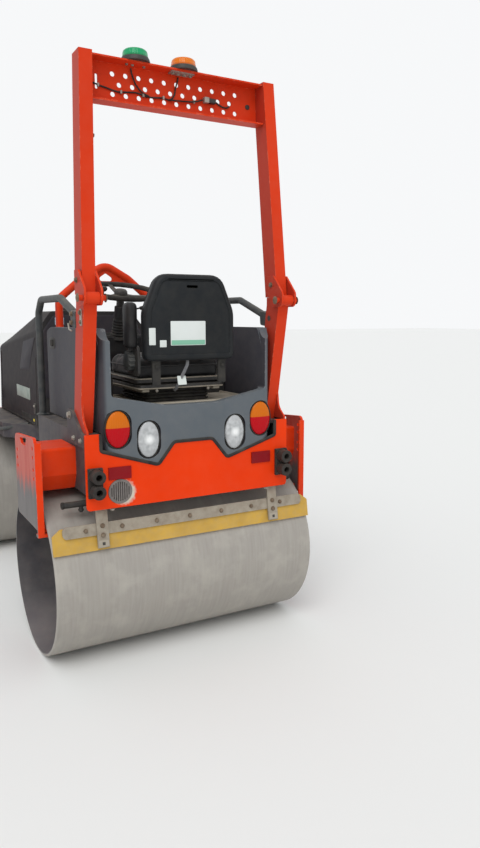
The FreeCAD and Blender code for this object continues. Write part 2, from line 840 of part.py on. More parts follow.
def scraper_bar():
    """Clamp bar hung on two straps from blocks behind the bumper's lower edge."""
    wall = S.blade_wall
    body = scraper_strip("scraper_bar_body", (-6, S.bar_depth - 6), (wall, wall + S.strap_wall),
                         "-scraper_bar_half", "scraper_bar_half")
    top = scraper_point(-6, wall + S.strap_wall)[1]
    low = scraper_point(S.bar_depth - 6, wall)[1]
    half = S.scraper_bar_half
    corner = S.bar_corner
    limit = prism("scraper_bar_limit", "cross",
                  [[(-half, low, corner), (half, low, corner), (half, top, corner), (-half, top, corner)]],
                  "rear_axle_x - bumper_back - 10", "rear_axle_x - bumper_back + 100")
    bar = common("scraper_bar_rounded", body, limit)
    parts = [bar]
    for side in (1, -1):
        low = f"{side} * strap_y - strap_wide / 2"
        high = f"{side} * strap_y + strap_wide / 2"
        parts.append(scraper_strip(f"scraper_strap_{side + 1}", (-S.strap_rise, S.strap_drop),
                                   (wall + S.strap_wall, wall + 2 * S.strap_wall), low, high))
        parts.append(box(f"scraper_block_{side + 1}",
                         ("rear_axle_x - rail_rear", low, "bumper_low + 4"),
                         ("rear_axle_x - rail_rear + 27", high, "bumper_low + 34")))
    return fuse("drum_scraper_bar_rear", *parts)


def scraper_blade():
    """Plastic blade across the drum, its two upper corners cut off."""
    strip = scraper_strip("scraper_blade_strip", (0, S.blade_length), (0, S.blade_wall),
                          "-scraper_half", "scraper_half")
    half = S.scraper_half
    top = S.scraper_top_z + 10
    shoulder = S.scraper_top_z - S.blade_corner_z
    inset = half - S.blade_corner_y
    low = S.scraper_top_z - S.blade_length - 10
    limit = prism("scraper_blade_limit", "cross",
                  [[(-half, low), (half, low), (half, shoulder), (inset, S.scraper_top_z), (inset, top),
                    (-inset, top), (-inset, S.scraper_top_z), (-half, shoulder)]],
                  "rear_axle_x - bumper_back - 10", "rear_axle_x - bumper_back + 100")
    return common("scraper_blade_rear", strip, limit)


bar_rear = node("scraper_bar_rear", scraper_bar())
blade_rear = node("scraper_blade_rear", scraper_blade())
node("scraper_bar_front", to_front("scraper_bar_front", bar_rear))
node("scraper_blade_front", to_front("scraper_blade_front", blade_rear))


def spray_bar():
    """Sprinkler tube over the drum, on two hangers under the deck."""
    back = "rear_axle_x - 250"
    pipe = rod("spray_pipe", "spray_radius", "2 * spray_half", (back, "-spray_half", "700"), "Y")
    parts = [pipe]
    for side in (1, -1):
        parts.append(box(f"spray_hanger_{side + 1}", ("rear_axle_x - 256", f"{side} * 300 - 15", "705"),
                         ("rear_axle_x - 244", f"{side} * 300 + 15", "deck_low")))
    return fuse("spray_bar_rear", *parts)


spray_rear = node("spray_bar_rear", spray_bar())
node("spray_bar_front", to_front("spray_bar_front", spray_rear))


# Platform and seat

def platform_floor():
    front = rx(-S.floor_front)
    back = rx(-S.rail_front) + 1
    outline = [
        (back, -S.floor_half), (front - 60, -S.floor_half, 40), (front, -S.floor_half + 110, 30),
        (front, S.floor_half - 110, 30), (front - 60, S.floor_half, 40), (back, S.floor_half),
    ]
    sheet_top = prism("floor_sheet", "plan", [outline], "floor_top - floor_sheet", "floor_top")
    steps = []
    for side in (1, -1):
        steps.append(box(f"floor_skirt_{side + 1}",
                         ("rear_axle_x + rail_front + 20", f"{side} * (floor_half - 20) - 4", "floor_top - 110"),
                         ("rear_axle_x + floor_front - 110", f"{side} * (floor_half - 20) + 4",
                          "floor_top - floor_sheet")))
    return fuse("platform_floor", sheet_top, *steps)


node("platform_floor", platform_floor())


def seat_deck():
    """Battery and valve box under the seat, between the cover's sides."""
    back = rx(S.bumper_back - S.cover_wall - 36)
    front = rx(-S.seat_deck_front)
    outline = [
        (back, S.bumper_dip_z - 3), (front, S.bumper_dip_z - 3), (front, S.seat_deck_top, 25),
        (back, S.seat_deck_top, 5),
    ]
    return prism("seat_deck", "side", [outline], "-seat_deck_half", "seat_deck_half")


node("seat_deck", seat_deck())


def seat_base():
    """Seat suspension: two plates and a bellows block."""
    low = box("seat_plate_low", ("rear_axle_x - 240", "-170", "seat_deck_top"),
              ("rear_axle_x + 130", "170", "seat_deck_top + 18"))
    middle = box("seat_bellows", ("rear_axle_x - 210", "-150", "seat_deck_top + 18"),
                 ("rear_axle_x + 100", "150", "seat_cushion_low - 18"))
    top = box("seat_plate_top", ("rear_axle_x - 250", "-195", "seat_cushion_low - 18"),
              ("rear_axle_x + 180", "195", "seat_cushion_low"))
    brackets = []
    for side in (1, -1):
        brackets.append(box(f"seat_hinge_{side + 1}",
                            ("rear_axle_x - seat_back_rear + 25", f"{side} * 150 - 20",
                             "seat_cushion_low - 18"),
                            ("rear_axle_x - 240", f"{side} * 150 + 20", "seat_back_low - 0.3")))
    return fuse("seat_base", low, middle, top, *brackets)


node("seat_base", seat_base())


def seat_cushion():
    half = S.seat_half
    front = rx(-S.seat_cushion_front)
    back = rx(S.seat_back_rear - S.seat_back_thick - 6)
    outline = [
        (front, -half + 20, 60), (front, half - 20, 60), (back, half, 25), (back, -half, 25),
    ]
    return prism("seat_cushion", "plan", [outline], "seat_cushion_low + 0.3", "seat_cushion_top")


node("seat_cushion", seat_cushion())


def seat_back():
    """Trapezoid back shell with a rounded top, leaning slightly."""
    half = S.seat_half
    low = S.seat_back_low
    top = S.seat_back_top
    front = [
        (-half, low, 30), (half, low, 30), (half, low + 200, 120), (half - 60, top, 70), (-half + 60, top, 70),
        (-half, low + 200, 120),
    ]
    return prism("seat_back", "cross", [front], "rear_axle_x - seat_back_rear",
                 "rear_axle_x - seat_back_rear + seat_back_thick")


node("seat_back", seat_back())


# Controls

def steering_console():
    """Leaning console in front of the driver, with a small panel on top."""
    outline = [
        (rx(-S.console_rear), S.floor_top), (rx(-S.console_front), S.floor_top),
        (rx(-S.console_front), S.console_top, 40), (rx(-S.console_rear + 60), S.console_top + 30, 20),
        (rx(-S.console_rear + 45), S.console_top - 60, 30), (rx(-S.console_rear), S.console_top - 200, 80),
    ]
    return prism("console_body", "side", [outline], "-console_half", "console_half")


def steering_wheel():
    """Rim, three spokes and hub on a leaning column."""
    ring = doc.addObject("Part::Torus", "wheel_rim")
    ring.setExpression("Radius1", bound("wheel_radius"))
    ring.setExpression("Radius2", bound("wheel_rim_radius"))
    hub = doc.addObject("Part::Cylinder", "wheel_hub")
    hub.Radius = 34
    hub.Height = 40
    hub.Placement.Base = Vector(0, 0, -20)
    spokes = []
    for i in range(3):
        spoke = doc.addObject("Part::Box", f"wheel_spoke_{i + 1}")
        spoke.setExpression("Length", bound("wheel_radius"))
        spoke.Width = 26
        spoke.Height = 10
        turn = Rotation(Vector(0, 0, 1), 120 * i)
        spoke.Placement = Placement(turn.multVec(Vector(0, -13, -5)), turn)
        spokes.append(spoke)
    column = doc.addObject("Part::Cylinder", "wheel_column")
    column.setExpression("Radius", bound("column_radius - 8"))
    column.Height = 60
    column.Placement.Base = Vector(0, 0, -75)
    wheel = fuse("steering_wheel", ring, hub, *spokes, column)
    return place(wheel, ("rear_axle_x + wheel_x", "0", "wheel_z"), Rotation(Vector(0, 1, 0), -S.wheel_tilt))


node("steering_wheel", steering_wheel())


def steering_column():
    """Fixed column from the console up to the wheel's shaft."""
    lean = Rotation(Vector(0, 1, 0), -S.wheel_tilt)
    axis = lean.multVec(Vector(0, 0, 1))
    top = Vector(rx(-S.wheel_x), 0, S.wheel_z) - axis * 76
    column = doc.addObject("Part::Cylinder", "column_tube")
    column.setExpression("Radius", bound("column_radius"))
    column.Height = 200
    column.Placement = Placement(top - axis * 200, lean)
    return column


node("steering_console", fuse("steering_console", steering_console(), steering_column()))


def travel_lever():
    """Travel lever beside the seat on its own bracket."""
    foot = box("lever_box", ("rear_axle_x + 20", "-345", "seat_deck_top"),
               ("rear_axle_x + 120", "-255", "seat_deck_top + 150"))
    stick = tube("lever_stick", [(rx(-70), -300, S.seat_deck_top + 145), (rx(-85), -300, S.seat_deck_top + 260),
                                 (rx(-75), -295, S.seat_deck_top + 330)], "8", 60)
    knob = doc.addObject("Part::Sphere", "lever_knob")
    knob.Radius = 26
    knob.Placement.Base = Vector(rx(-75), -295, S.seat_deck_top + 345)
    return fuse("travel_lever", foot, stick, knob)


node("travel_lever", travel_lever())


def front_hoop():
    """Tubular guard over the console with a gusset plate under its peak."""
    x = rx(-S.hoop_x)
    half = S.hoop_half
    shoulder_y = half - S.hoop_shoulder_run
    shoulder_z = S.hoop_bend_z + S.hoop_shoulder_rise
    points = [
        (x, half, S.floor_top), (x, half, S.hoop_bend_z), (x, shoulder_y, shoulder_z),
        (x, 0, S.hoop_peak_z), (x, -shoulder_y, shoulder_z), (x, -half, S.hoop_bend_z),
        (x, -half, S.floor_top),
    ]
    pipe = tube("hoop_tube", points, "hoop_radius", 70)
    plate_half = half - S.hoop_shoulder_run * S.hoop_gusset_rise / S.hoop_shoulder_rise
    plate_low = S.hoop_bend_z + S.hoop_gusset_rise
    plate = prism("hoop_gusset", "cross",
                  [[(-plate_half, plate_low), (plate_half, plate_low), (shoulder_y, shoulder_z),
                    (0, S.hoop_peak_z - 6), (-shoulder_y, shoulder_z)],
                   [(-60, plate_low + 14, 12), (60, plate_low + 14, 12), (0, S.hoop_peak_z - 42, 12)]],
                  "rear_axle_x + hoop_x - 4", "rear_axle_x + hoop_x + 4")
    return fuse("front_hoop", pipe, plate)


node("front_hoop", front_hoop())


def grab_handle():
    """Entry rail from the frame up and back to the roll-over post."""
    y = S.grab_y
    points = [
        (rx(-S.grab_front), y, S.rail_top), (rx(-S.grab_front), y, S.grab_top - 60),
        (rx(-S.grab_front + 60), y, S.grab_top), (rx(-20), y, S.grab_top),
        (rx(150), y, 1470), (rx(255), y, 1435),
    ]
    return tube("grab_handle_left", points, "grab_radius", 35)


grab = grab_handle()
node("grab_handles", both_sides("grab_handles", grab))


# Roll-over frame

def hexahedron(name, low, high):
    """A straight-sided post between two level rectangles (x0, x1, y0, y1, z)."""
    sections = []
    for x0, x1, y0, y1, z in (low, high):
        sections.append([(Vector(x0, y0, z), 0), (Vector(x1, y0, z), 0), (Vector(x1, y1, z), 0),
                         (Vector(x0, y1, z), 0)])
    return loft(name, sections)


def rops_lower_post():
    """Lower post, its hinge barrel and the pin through it."""
    deep = S.rops_post_deep
    out = S.rops_hinge_y + S.rops_post_wide / 2
    inner = out - S.rops_post_wide
    seat_z = S.rops_hinge_z + 14
    middle = (rx(S.rops_mid_back), rx(S.rops_mid_back) + deep - 10, inner, out, S.rops_mid_z)
    foot = hexahedron("rops_foot", (rx(S.rops_foot_back), rx(S.rops_foot_back) + deep - 18, inner, out,
                                    S.rail_top), middle)
    shank = hexahedron("rops_shank", middle, (rx(S.rops_low_back), rx(S.rops_low_back) + deep, inner, out,
                                              seat_z - 32))
    head = box("rops_head", ("rear_axle_x - rops_low_back", "rops_hinge_y - rops_post_wide / 2",
                             "rops_hinge_z - 18"),
               ("rear_axle_x - rops_low_back + rops_post_deep", "rops_hinge_y + rops_post_wide / 2",
                "rops_hinge_z + 14"))
    hinge = ("rear_axle_x - rops_hinge_back", "rops_hinge_y - rops_barrel_length / 2", "rops_hinge_z")
    barrel = rod("rops_barrel", "rops_barrel_radius", "rops_barrel_length", hinge, "Y")
    web = box("rops_barrel_web", ("rear_axle_x - rops_hinge_back", "rops_hinge_y - rops_barrel_length / 2",
                                  "rops_hinge_z - rops_barrel_radius"),
              ("rear_axle_x - rops_low_back", "rops_hinge_y + rops_barrel_length / 2", "rops_hinge_z + 5"))
    edge = rx(S.bumper_back)
    foot_low = S.bumper_top + 0.3
    gusset = prism("rops_gusset", "side",
                   [[(edge, foot_low), (rx(S.rops_foot_back - 30), foot_low), (rx(S.rops_foot_back - 30), foot_low + 40),
                     (rx(S.rops_mid_back - 20), S.rops_gusset_top), (rx(S.rops_mid_back + 4), S.rops_gusset_top),
                     (rx(S.rops_mid_back + 14), foot_low + 50, 60), (edge, foot_low + 12, 8)]],
                   f"{out} - rops_gusset_wall", str(out))
    pin = rod("rops_pin", "rops_pin_radius", "rops_barrel_length + 50",
              ("rear_axle_x - rops_hinge_back", "rops_hinge_y - rops_barrel_length / 2 - 25", "rops_hinge_z"),
              "Y")
    return fuse("rops_post_low_left", foot, shank, head, barrel, web, gusset, pin)


node("rops_low_posts", both_sides("rops_low_posts", rops_lower_post()))


def rops_upper_post():
    """Upper post with two ears that take the hinge pin."""
    deep = S.rops_post_deep
    out = S.rops_hinge_y + S.rops_post_wide / 2
    inner = out - S.rops_post_wide
    low_z = S.rops_hinge_z + 14 + S.rops_post_gap
    top_out = S.rops_top_out
    post = hexahedron("rops_upper", (rx(S.rops_up_back), rx(S.rops_up_back) + deep - 4, inner, out, low_z),
                      (rx(S.rops_top_back), rx(S.rops_top_back) + deep - 16, top_out - S.rops_post_wide,
                       top_out, S.rops_top))
    doubler = box("rops_doubler",
                  ("rear_axle_x - rops_up_back + 12", "rops_hinge_y - rops_barrel_length / 2 - rops_ear_gap",
                   str(low_z)),
                  ("rear_axle_x - rops_up_back + rops_post_deep - 16",
                   "rops_hinge_y + rops_barrel_length / 2 + rops_ear_gap", "rops_hinge_z + rops_ear_rise - 5"))
    ears = []
    hinge_x = rx(S.rops_hinge_back)
    low_y = S.rops_hinge_y - S.rops_barrel_length / 2 - S.rops_ear_gap - S.rops_ear_wall
    high_y = S.rops_hinge_y + S.rops_barrel_length / 2 + S.rops_ear_gap
    ear_top = S.rops_hinge_z + S.rops_ear_rise
    outline = [
        (hinge_x - 28, S.rops_hinge_z - 28, 26), (rx(335), S.rops_hinge_z - 28, 16),
        (rx(295), S.rops_hinge_z + 30, 25), (rx(295), ear_top), (rx(342), ear_top),
        (hinge_x - 28, S.rops_hinge_z + 32, 30),
    ]
    hole = (hinge_x, S.rops_hinge_z, S.rops_pin_radius + S.rops_pin_fit)
    for label, low in (("in", low_y), ("out", high_y)):
        ears.append(prism(f"rops_ear_{label}", "side", [outline, hole], str(low), str(low + S.rops_ear_wall)))
    return fuse("rops_post_high_left", post, doubler, *ears)


node("rops_high_posts", both_sides("rops_high_posts", rops_upper_post()))


def rops_beam():
    """Channel open to the rear with a punched web."""
    inner = S.rops_top_out - S.rops_post_wide
    half_low = inner + (S.rops_top - S.rops_beam_low) * 0.033
    wall = S.rops_beam_wall
    top = S.rops_top - S.rops_flange_drop
    holes = []
    count = int(2 * (inner - 60) / S.rops_hole_pitch)
    for row in range(3):
        z = S.rops_beam_low + 44 + row * S.rops_hole_row
        for i in range(count - row % 2):
            y = (i - (count - 1 - row % 2) / 2) * S.rops_hole_pitch
            holes.append((y, z, S.rops_hole_radius))
    for y in (inner - 34, inner - 10):
        holes.append([(y - 5, S.rops_beam_low + 55, 4.5), (y + 5, S.rops_beam_low + 55, 4.5),
                      (y + 5, S.rops_beam_low + 110, 4.5), (y - 5, S.rops_beam_low + 110, 4.5)])
    web = prism("rops_web", "cross",
                [[(-half_low, S.rops_beam_low), (half_low, S.rops_beam_low), (inner, top), (-inner, top)]] + holes,
                "rear_axle_x - rops_top_back + rops_web_in",
                "rear_axle_x - rops_top_back + rops_web_in + rops_beam_wall")
    flanges = []
    for label, half, low in (("top", inner, "rops_top - rops_flange_drop - rops_beam_wall"),
                             ("low", half_low, "rops_beam_low")):
        flanges.append(box(f"rops_flange_{label}",
                           ("rear_axle_x - rops_top_back + rops_flange_in", f"-{half}", low),
                           ("rear_axle_x - rops_top_back + rops_web_in", str(half), low + " + rops_beam_wall")))
    return fuse("rops_beam", web, *flanges)


node("rops_beam", rops_beam())


def beacon(name):
    """Low flashing lamp, tapered, on a round base on the beam."""
    x = "rear_axle_x - rops_top_back + beacon_ahead"
    y = name + "_y"
    top = "rops_top - rops_flange_drop"
    base = rod(name + "_base", "beacon_radius", "beacon_base", (x, y, top))
    lens = doc.addObject("Part::Cone", name + "_lens")
    lens.setExpression("Radius1", bound("beacon_radius - 6"))
    lens.setExpression("Radius2", bound("beacon_radius - 16"))
    lens.setExpression("Height", bound("beacon_tall - beacon_base"))
    return fuse(name, base, place(lens, (x, y, top + " + beacon_base")))


node("beacon_green", beacon("beacon_green"))
node("beacon_amber", beacon("beacon_amber"))


# Articulation

def knuckle():
    """Block between the lugs, with the steering arm and the roll pin."""
    low = S.pivot_lug_low + S.knuckle_gap
    top = S.pivot_lug_top - S.knuckle_gap
    half = S.knuckle_half
    outline = [
        (PIVOT_X - 62, -half, 55), (PIVOT_X + S.knuckle_front, -half), (PIVOT_X + S.knuckle_front, half),
        (PIVOT_X - 62, half, 55),
    ]
    block = prism("knuckle_block", "plan", [outline, (PIVOT_X, 0, S.pivot_bore_radius + S.pivot_fit)],
                  str(low), str(top))
    arm_y = S.cylinder_y
    ears = []
    gap = 5
    for label, z in (("low", S.cylinder_z - S.cylinder_eye_wall / 2 - gap - 15),
                     ("top", S.cylinder_z + S.cylinder_eye_wall / 2 + gap)):
        outline = [
            (PIVOT_X - 45, half - 5), (PIVOT_X + 45, half - 5), (PIVOT_X + 45, arm_y + 45, 42),
            (PIVOT_X - 45, arm_y + 45, 42),
        ]
        ears.append(prism(f"knuckle_ear_{label}", "plan", [outline], str(z), str(z + 15)))
    pin = rod("roll_pin", "roll_pin_radius", "roll_pin_reach", (str(PIVOT_X + S.knuckle_front), "0", "pivot_z"), "X")
    return fuse("pivot_knuckle", block, *ears, pin)


node("pivot_knuckle", knuckle())


def cylinder_barrel():
    start = rx(-S.cylinder_anchor)
    eye = rod("barrel_eye", "cylinder_eye_radius - 6", "cylinder_eye_wall",
              (str(start), "cylinder_y", "cylinder_z - cylinder_eye_wall / 2"))
    stem = rod("barrel_stem", "rod_radius", "30", (str(start + 15), "cylinder_y", "cylinder_z"), "X")
    tube_body = rod("barrel_tube", "cylinder_radius", "cylinder_barrel - 40",
                    (str(start + 40), "cylinder_y", "cylinder_z"), "X")
    bore = rod("barrel_bore", "rod_radius + cylinder_fit", "cylinder_barrel",
               (str(start + 60), "cylinder_y", "cylinder_z"), "X")
    hole = rod("barrel_eye_bore", "cylinder_pin_radius + cylinder_fit", "cylinder_eye_wall + 10",
               (str(start), "cylinder_y", "cylinder_z - cylinder_eye_wall / 2 - 5"))
    return cut("steer_barrel", fuse("barrel_body", eye, stem, tube_body), bore, hole)


def cylinder_rod():
    start = rx(-S.cylinder_anchor)
    inside = S.cylinder_ram_start
    shaft = rod("ram_shaft", "rod_radius", str(PIVOT_X - start - inside), (str(start + inside), "cylinder_y",
                                                                           "cylinder_z"), "X")
    eye = rod("ram_eye", "cylinder_eye_radius", "cylinder_eye_wall",
              (str(PIVOT_X), "cylinder_y", "cylinder_z - cylinder_eye_wall / 2"))
    return fuse("steer_ram", shaft, eye)


node("steer_barrel", cylinder_barrel())
node("steer_ram", cylinder_rod())


# Front frame

def front_frame():
    """Deck over the front drum, its neck and the roll-pin housing."""
    deck_front = FRONT_AXLE_X + S.rail_rear
    start = PIVOT_X + S.front_deck_rear
    wide = PIVOT_X + S.front_deck_wide_from
    outline = [
        (start, -S.front_deck_rear_half), (wide, -S.rail_out), (deck_front, -S.rail_out),
        (deck_front, S.rail_out), (wide, S.rail_out), (start, S.front_deck_rear_half),
    ]
    deck = prism("front_deck", "plan", [outline], "deck_low", "front_deck_top")
    neck = box("front_neck", (str(PIVOT_X + S.front_neck_start), "-front_neck_half", "neck_low"),
               (str(PIVOT_X + S.front_neck_end), "front_neck_half", "deck_low + 5"))
    bore = rod("roll_bore", "roll_pin_radius + pivot_fit", "roll_pin_reach + 12",
               (str(PIVOT_X + S.knuckle_front), "0", "pivot_z"), "X")
    return cut("front_frame", fuse("front_body", deck, neck), bore)


node("front_frame", front_frame())


def front_bumper():
    """Bumper plate below the hood, with the hood's hinge ears and pins on its top edge."""
    outline = [
        (-S.bumper_half, S.bumper_low, 14), (S.bumper_half, S.bumper_low, 14),
        (S.bumper_half, S.front_deck_top + 40, 20), (S.bumper_half - 90, S.front_deck_top + 40, 20),
        (S.bumper_half - 110, S.front_deck_top, 15), (-S.bumper_half + 110, S.front_deck_top, 15),
        (-S.bumper_half + 90, S.front_deck_top + 40, 20), (-S.bumper_half, S.front_deck_top + 40, 20),
    ]
    plate = prism("front_bumper_plate", "cross", [outline], str(FRONT_AXLE_X + S.rail_rear),
                  str(FRONT_AXLE_X + S.bumper_back))
    parts = [plate]
    wall = S.hood_ear_wall
    low = S.hood_hinge_y - S.hood_lug_wide / 2 - S.hood_ear_gap - wall
    high = S.hood_hinge_y + S.hood_lug_wide / 2 + S.hood_ear_gap
    for side in (1, -1):
        for label, y in (("in", low), ("out", high)):
            edge = y if side == 1 else -y - wall
            parts.append(box(f"hood_ear_{label}_{side + 1}",
                             (str(HINGE_X - 7), str(edge), "front_deck_top - 5"),
                             (str(HINGE_X + 5), str(edge + wall), "hood_hinge_z + 10")))
        start = low if side == 1 else -high - wall
        parts.append(rod(f"hood_pin_{side + 1}", "hood_pin_radius", str(high + wall - low),
                         (str(HINGE_X), str(start), "hood_hinge_z"), "Y"))
    return fuse("front_bumper", *parts)


HINGE_X = FRONT_AXLE_X + S.hood_hinge_reach
node("front_bumper", front_bumper())


def hood_sections(inset=0):
    """Four cross-sections of the hood, inset by its wall."""
    rear = PIVOT_X + S.hood_rear
    front = FRONT_AXLE_X + S.hood_front_reach
    low = S.front_deck_top + S.hood_gap
    crest = rear + S.hood_crest_run
    fall = (S.hood_shoulder_rear - S.hood_shoulder_front) / (front - S.hood_nose_run - rear)
    stations = [
        (rear + inset, S.hood_half_low, S.hood_half_shoulder, S.hood_half_top, S.hood_shoulder_rear,
         S.hood_top_rear),
        (crest, S.hood_half_low, S.hood_half_shoulder, S.hood_half_top,
         S.hood_shoulder_rear - fall * S.hood_crest_run, S.hood_top_rear),
        (front - S.hood_nose_run, S.hood_half_low, S.hood_half_shoulder, S.hood_half_top, S.hood_shoulder_front,
         S.hood_top_front),
        (front - inset, S.hood_half_low - 10, S.hood_half_shoulder - 15, S.hood_half_top - 30,
         S.hood_shoulder_front - S.hood_nose_drop, S.hood_top_front - S.hood_nose_drop - 5),
    ]
    sections = []
    for x, half_low, half_shoulder, half_top, shoulder, top in stations:
        base = low - (20 if inset else 0)
        right = [
            (half_low - inset, base, 0), (half_shoulder - inset, shoulder - inset, 40),
            (half_top - inset, top - inset, 30),
        ]
        ring = right + [(-y, z, r) for y, z, r in reversed(right)]
        sections.append([(Vector(x, y, z), r) for y, z, r in ring])
    return sections


def hood():
    """Thin hood over the engine, open below."""
    outer = loft("hood_outer", hood_sections())
    inner = loft("hood_inner", hood_sections(S.hood_wall))
    window = prism("hood_grille_hole", "cross",
                   [[(-S.grille_half, S.grille_low, 20), (S.grille_half, S.grille_low, 20),
                     (S.grille_half, S.grille_top, 20), (-S.grille_half, S.grille_top, 20)]],
                   str(FRONT_AXLE_X + S.hood_front_reach - 30), str(FRONT_AXLE_X + S.hood_front_reach + 10))
    shell = cut("hood_shell", outer, inner, window)
    lugs = []
    for side in (1, -1):
        lug = box(f"hood_lug_{side + 1}",
                  (str(FRONT_AXLE_X + S.hood_front_reach - 4), f"{side} * hood_hinge_y - hood_lug_wide / 2",
                   "hood_hinge_z - 9"),
                  (str(HINGE_X + 9), f"{side} * hood_hinge_y + hood_lug_wide / 2", "hood_hinge_z + 9"))
        hole = rod(f"hood_lug_hole_{side + 1}", "hood_pin_radius + hood_pin_fit", "hood_lug_wide + 10",
                   (str(HINGE_X), f"{side} * hood_hinge_y - hood_lug_wide / 2 - 5", "hood_hinge_z"), "Y")
        lugs.append(cut(f"hood_hinge_{side + 1}", lug, hole))
    return fuse("hood", shell, *lugs)


node("hood", hood())


def hood_grille():
    """Slatted panel set in the hood's nose."""
    x = FRONT_AXLE_X + S.hood_front_reach
    half = S.grille_half + S.grille_lap
    low = S.grille_low - S.grille_lap
    top = S.grille_top + S.grille_lap
    slots = []
    for i in range(int((top - low - 40) / S.grille_pitch)):
        z = low + 28 + i * S.grille_pitch
        slots.append([(-half + 30, z), (half - 30, z), (half - 30, z + 11), (-half + 30, z + 11)])
    return prism("hood_grille", "cross",
                 [[(-half, low, 20), (half, low, 20), (half, top, 20), (-half, top, 20)]] + slots,
                 f"{x - 8} - hood_wall", f"{x} - hood_wall")


node("hood_grille", hood_grille())

node("engine_block", box("engine_block", (str(PIVOT_X + S.engine_rear), "-engine_half", "front_deck_top"),
                         (str(PIVOT_X + S.engine_rear + S.engine_length), "engine_half",
                          "front_deck_top + engine_height")))


def head_lamps():
    """Round lamp on a bracket at each front corner of the deck."""
    x = FRONT_AXLE_X + S.rail_rear
    bowl = rod("head_bowl_left", "head_lamp_radius", "60", (str(x - 50), "head_lamp_y", "head_lamp_z"), "X")
    stand = box("head_stand_left", (str(x - 45), "head_lamp_y - 20", "front_deck_top"),
                (str(x - 5), "head_lamp_y + 20", "head_lamp_z"))
    return both_sides("head_lamps", fuse("head_left", bowl, stand))


node("head_lamps", head_lamps())

doc.recompute()


# Write the parts

def check_states():
    bad = [obj.Label for obj in doc.Objects if "Invalid" in obj.State or "Error" in obj.State]
    if bad:
        raise RuntimeError("not built: " + ", ".join(bad))
    for name, obj in NODES.items():
        if obj.Shape.isNull() or not obj.Shape.isValid() or not obj.Shape.Solids:
            raise RuntimeError("bad shape: " + name)


doc.recompute()
check_states()
os.makedirs("parts", exist_ok=True)
for name, obj in NODES.items():
    obj.Shape.exportStep(f"parts/{name}.step")
print("nodes", len(NODES))
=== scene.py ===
"""Compact tandem road roller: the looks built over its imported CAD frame."""

import logging
import math
from dataclasses import dataclass
from enum import Enum
from typing import Optional, Sequence

import bmesh
import bpy
from mathutils import Matrix, Vector


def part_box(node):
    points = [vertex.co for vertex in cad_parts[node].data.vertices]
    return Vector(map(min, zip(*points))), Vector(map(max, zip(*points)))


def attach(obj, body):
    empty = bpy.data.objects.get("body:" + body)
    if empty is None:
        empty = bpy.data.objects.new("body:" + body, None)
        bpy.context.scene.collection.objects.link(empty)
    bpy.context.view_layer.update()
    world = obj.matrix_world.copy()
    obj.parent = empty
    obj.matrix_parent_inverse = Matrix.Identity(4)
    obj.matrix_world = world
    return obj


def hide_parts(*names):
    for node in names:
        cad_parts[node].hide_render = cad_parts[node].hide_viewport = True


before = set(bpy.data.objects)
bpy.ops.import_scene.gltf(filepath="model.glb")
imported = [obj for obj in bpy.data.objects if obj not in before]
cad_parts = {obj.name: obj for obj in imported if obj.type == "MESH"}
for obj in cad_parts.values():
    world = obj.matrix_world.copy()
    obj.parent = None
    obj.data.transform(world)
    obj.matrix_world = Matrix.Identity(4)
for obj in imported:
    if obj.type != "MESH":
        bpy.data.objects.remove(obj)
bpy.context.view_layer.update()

LOG = logging.getLogger("road_roller")
Point = tuple[float, float, float]
Corner = tuple[float, ...]
Level = tuple[float, float]
Socket = bpy.types.NodeSocket

REAR_AXLE = -0.84725
FRONT_AXLE = 0.87275
PIVOT = (REAR_AXLE + FRONT_AXLE) / 2
AXLE_HEIGHT = 0.360
UP: Point = (0.0, 0.0, 1.0)
METAL_FROM = 0.2
DUSTY_ROUGHNESS = 0.85
STAIN_COLOUR = "#CFC6B6"
LENS_FLUTE_MM = 5.0


# Shader helpers


def linear(hex_colour: str) -> tuple[float, float, float, float]:
    """Turn an sRGB hex value to linear.

    Args:
        hex_colour: Six hex digits after a hash sign.

    Returns:
        Linear red, green, blue and an alpha of 1.
    """
    shares = [int(hex_colour[i : i + 2], 16) / 255 for i in (1, 3, 5)]
    red, green, blue = (c / 12.92 if c <= 0.04045 else ((c + 0.055) / 1.055) ** 2.4 for c in shares)
    return red, green, blue, 1.0


def add_node(
    tree: bpy.types.NodeTree,
    kind: str,
    settings: Optional[dict] = None,
    values: Optional[dict] = None,
    links: Optional[dict] = None,
) -> bpy.types.Node:
    """Add one shader node with its settings and links.

    Args:
        tree: The node tree.
        kind: The node's type name.
        settings: Node attributes by name.
        values: Input values by socket name or number.
        links: Output sockets by the input's name or number.

    Returns:
        The new node.
    """
    made = tree.nodes.new(kind)
    for key, value in (settings or {}).items():
        setattr(made, key, value)
    for key, value in (values or {}).items():
        made.inputs[key].default_value = value
    for key, socket in (links or {}).items():
        tree.links.new(socket, made.inputs[key])
    return made


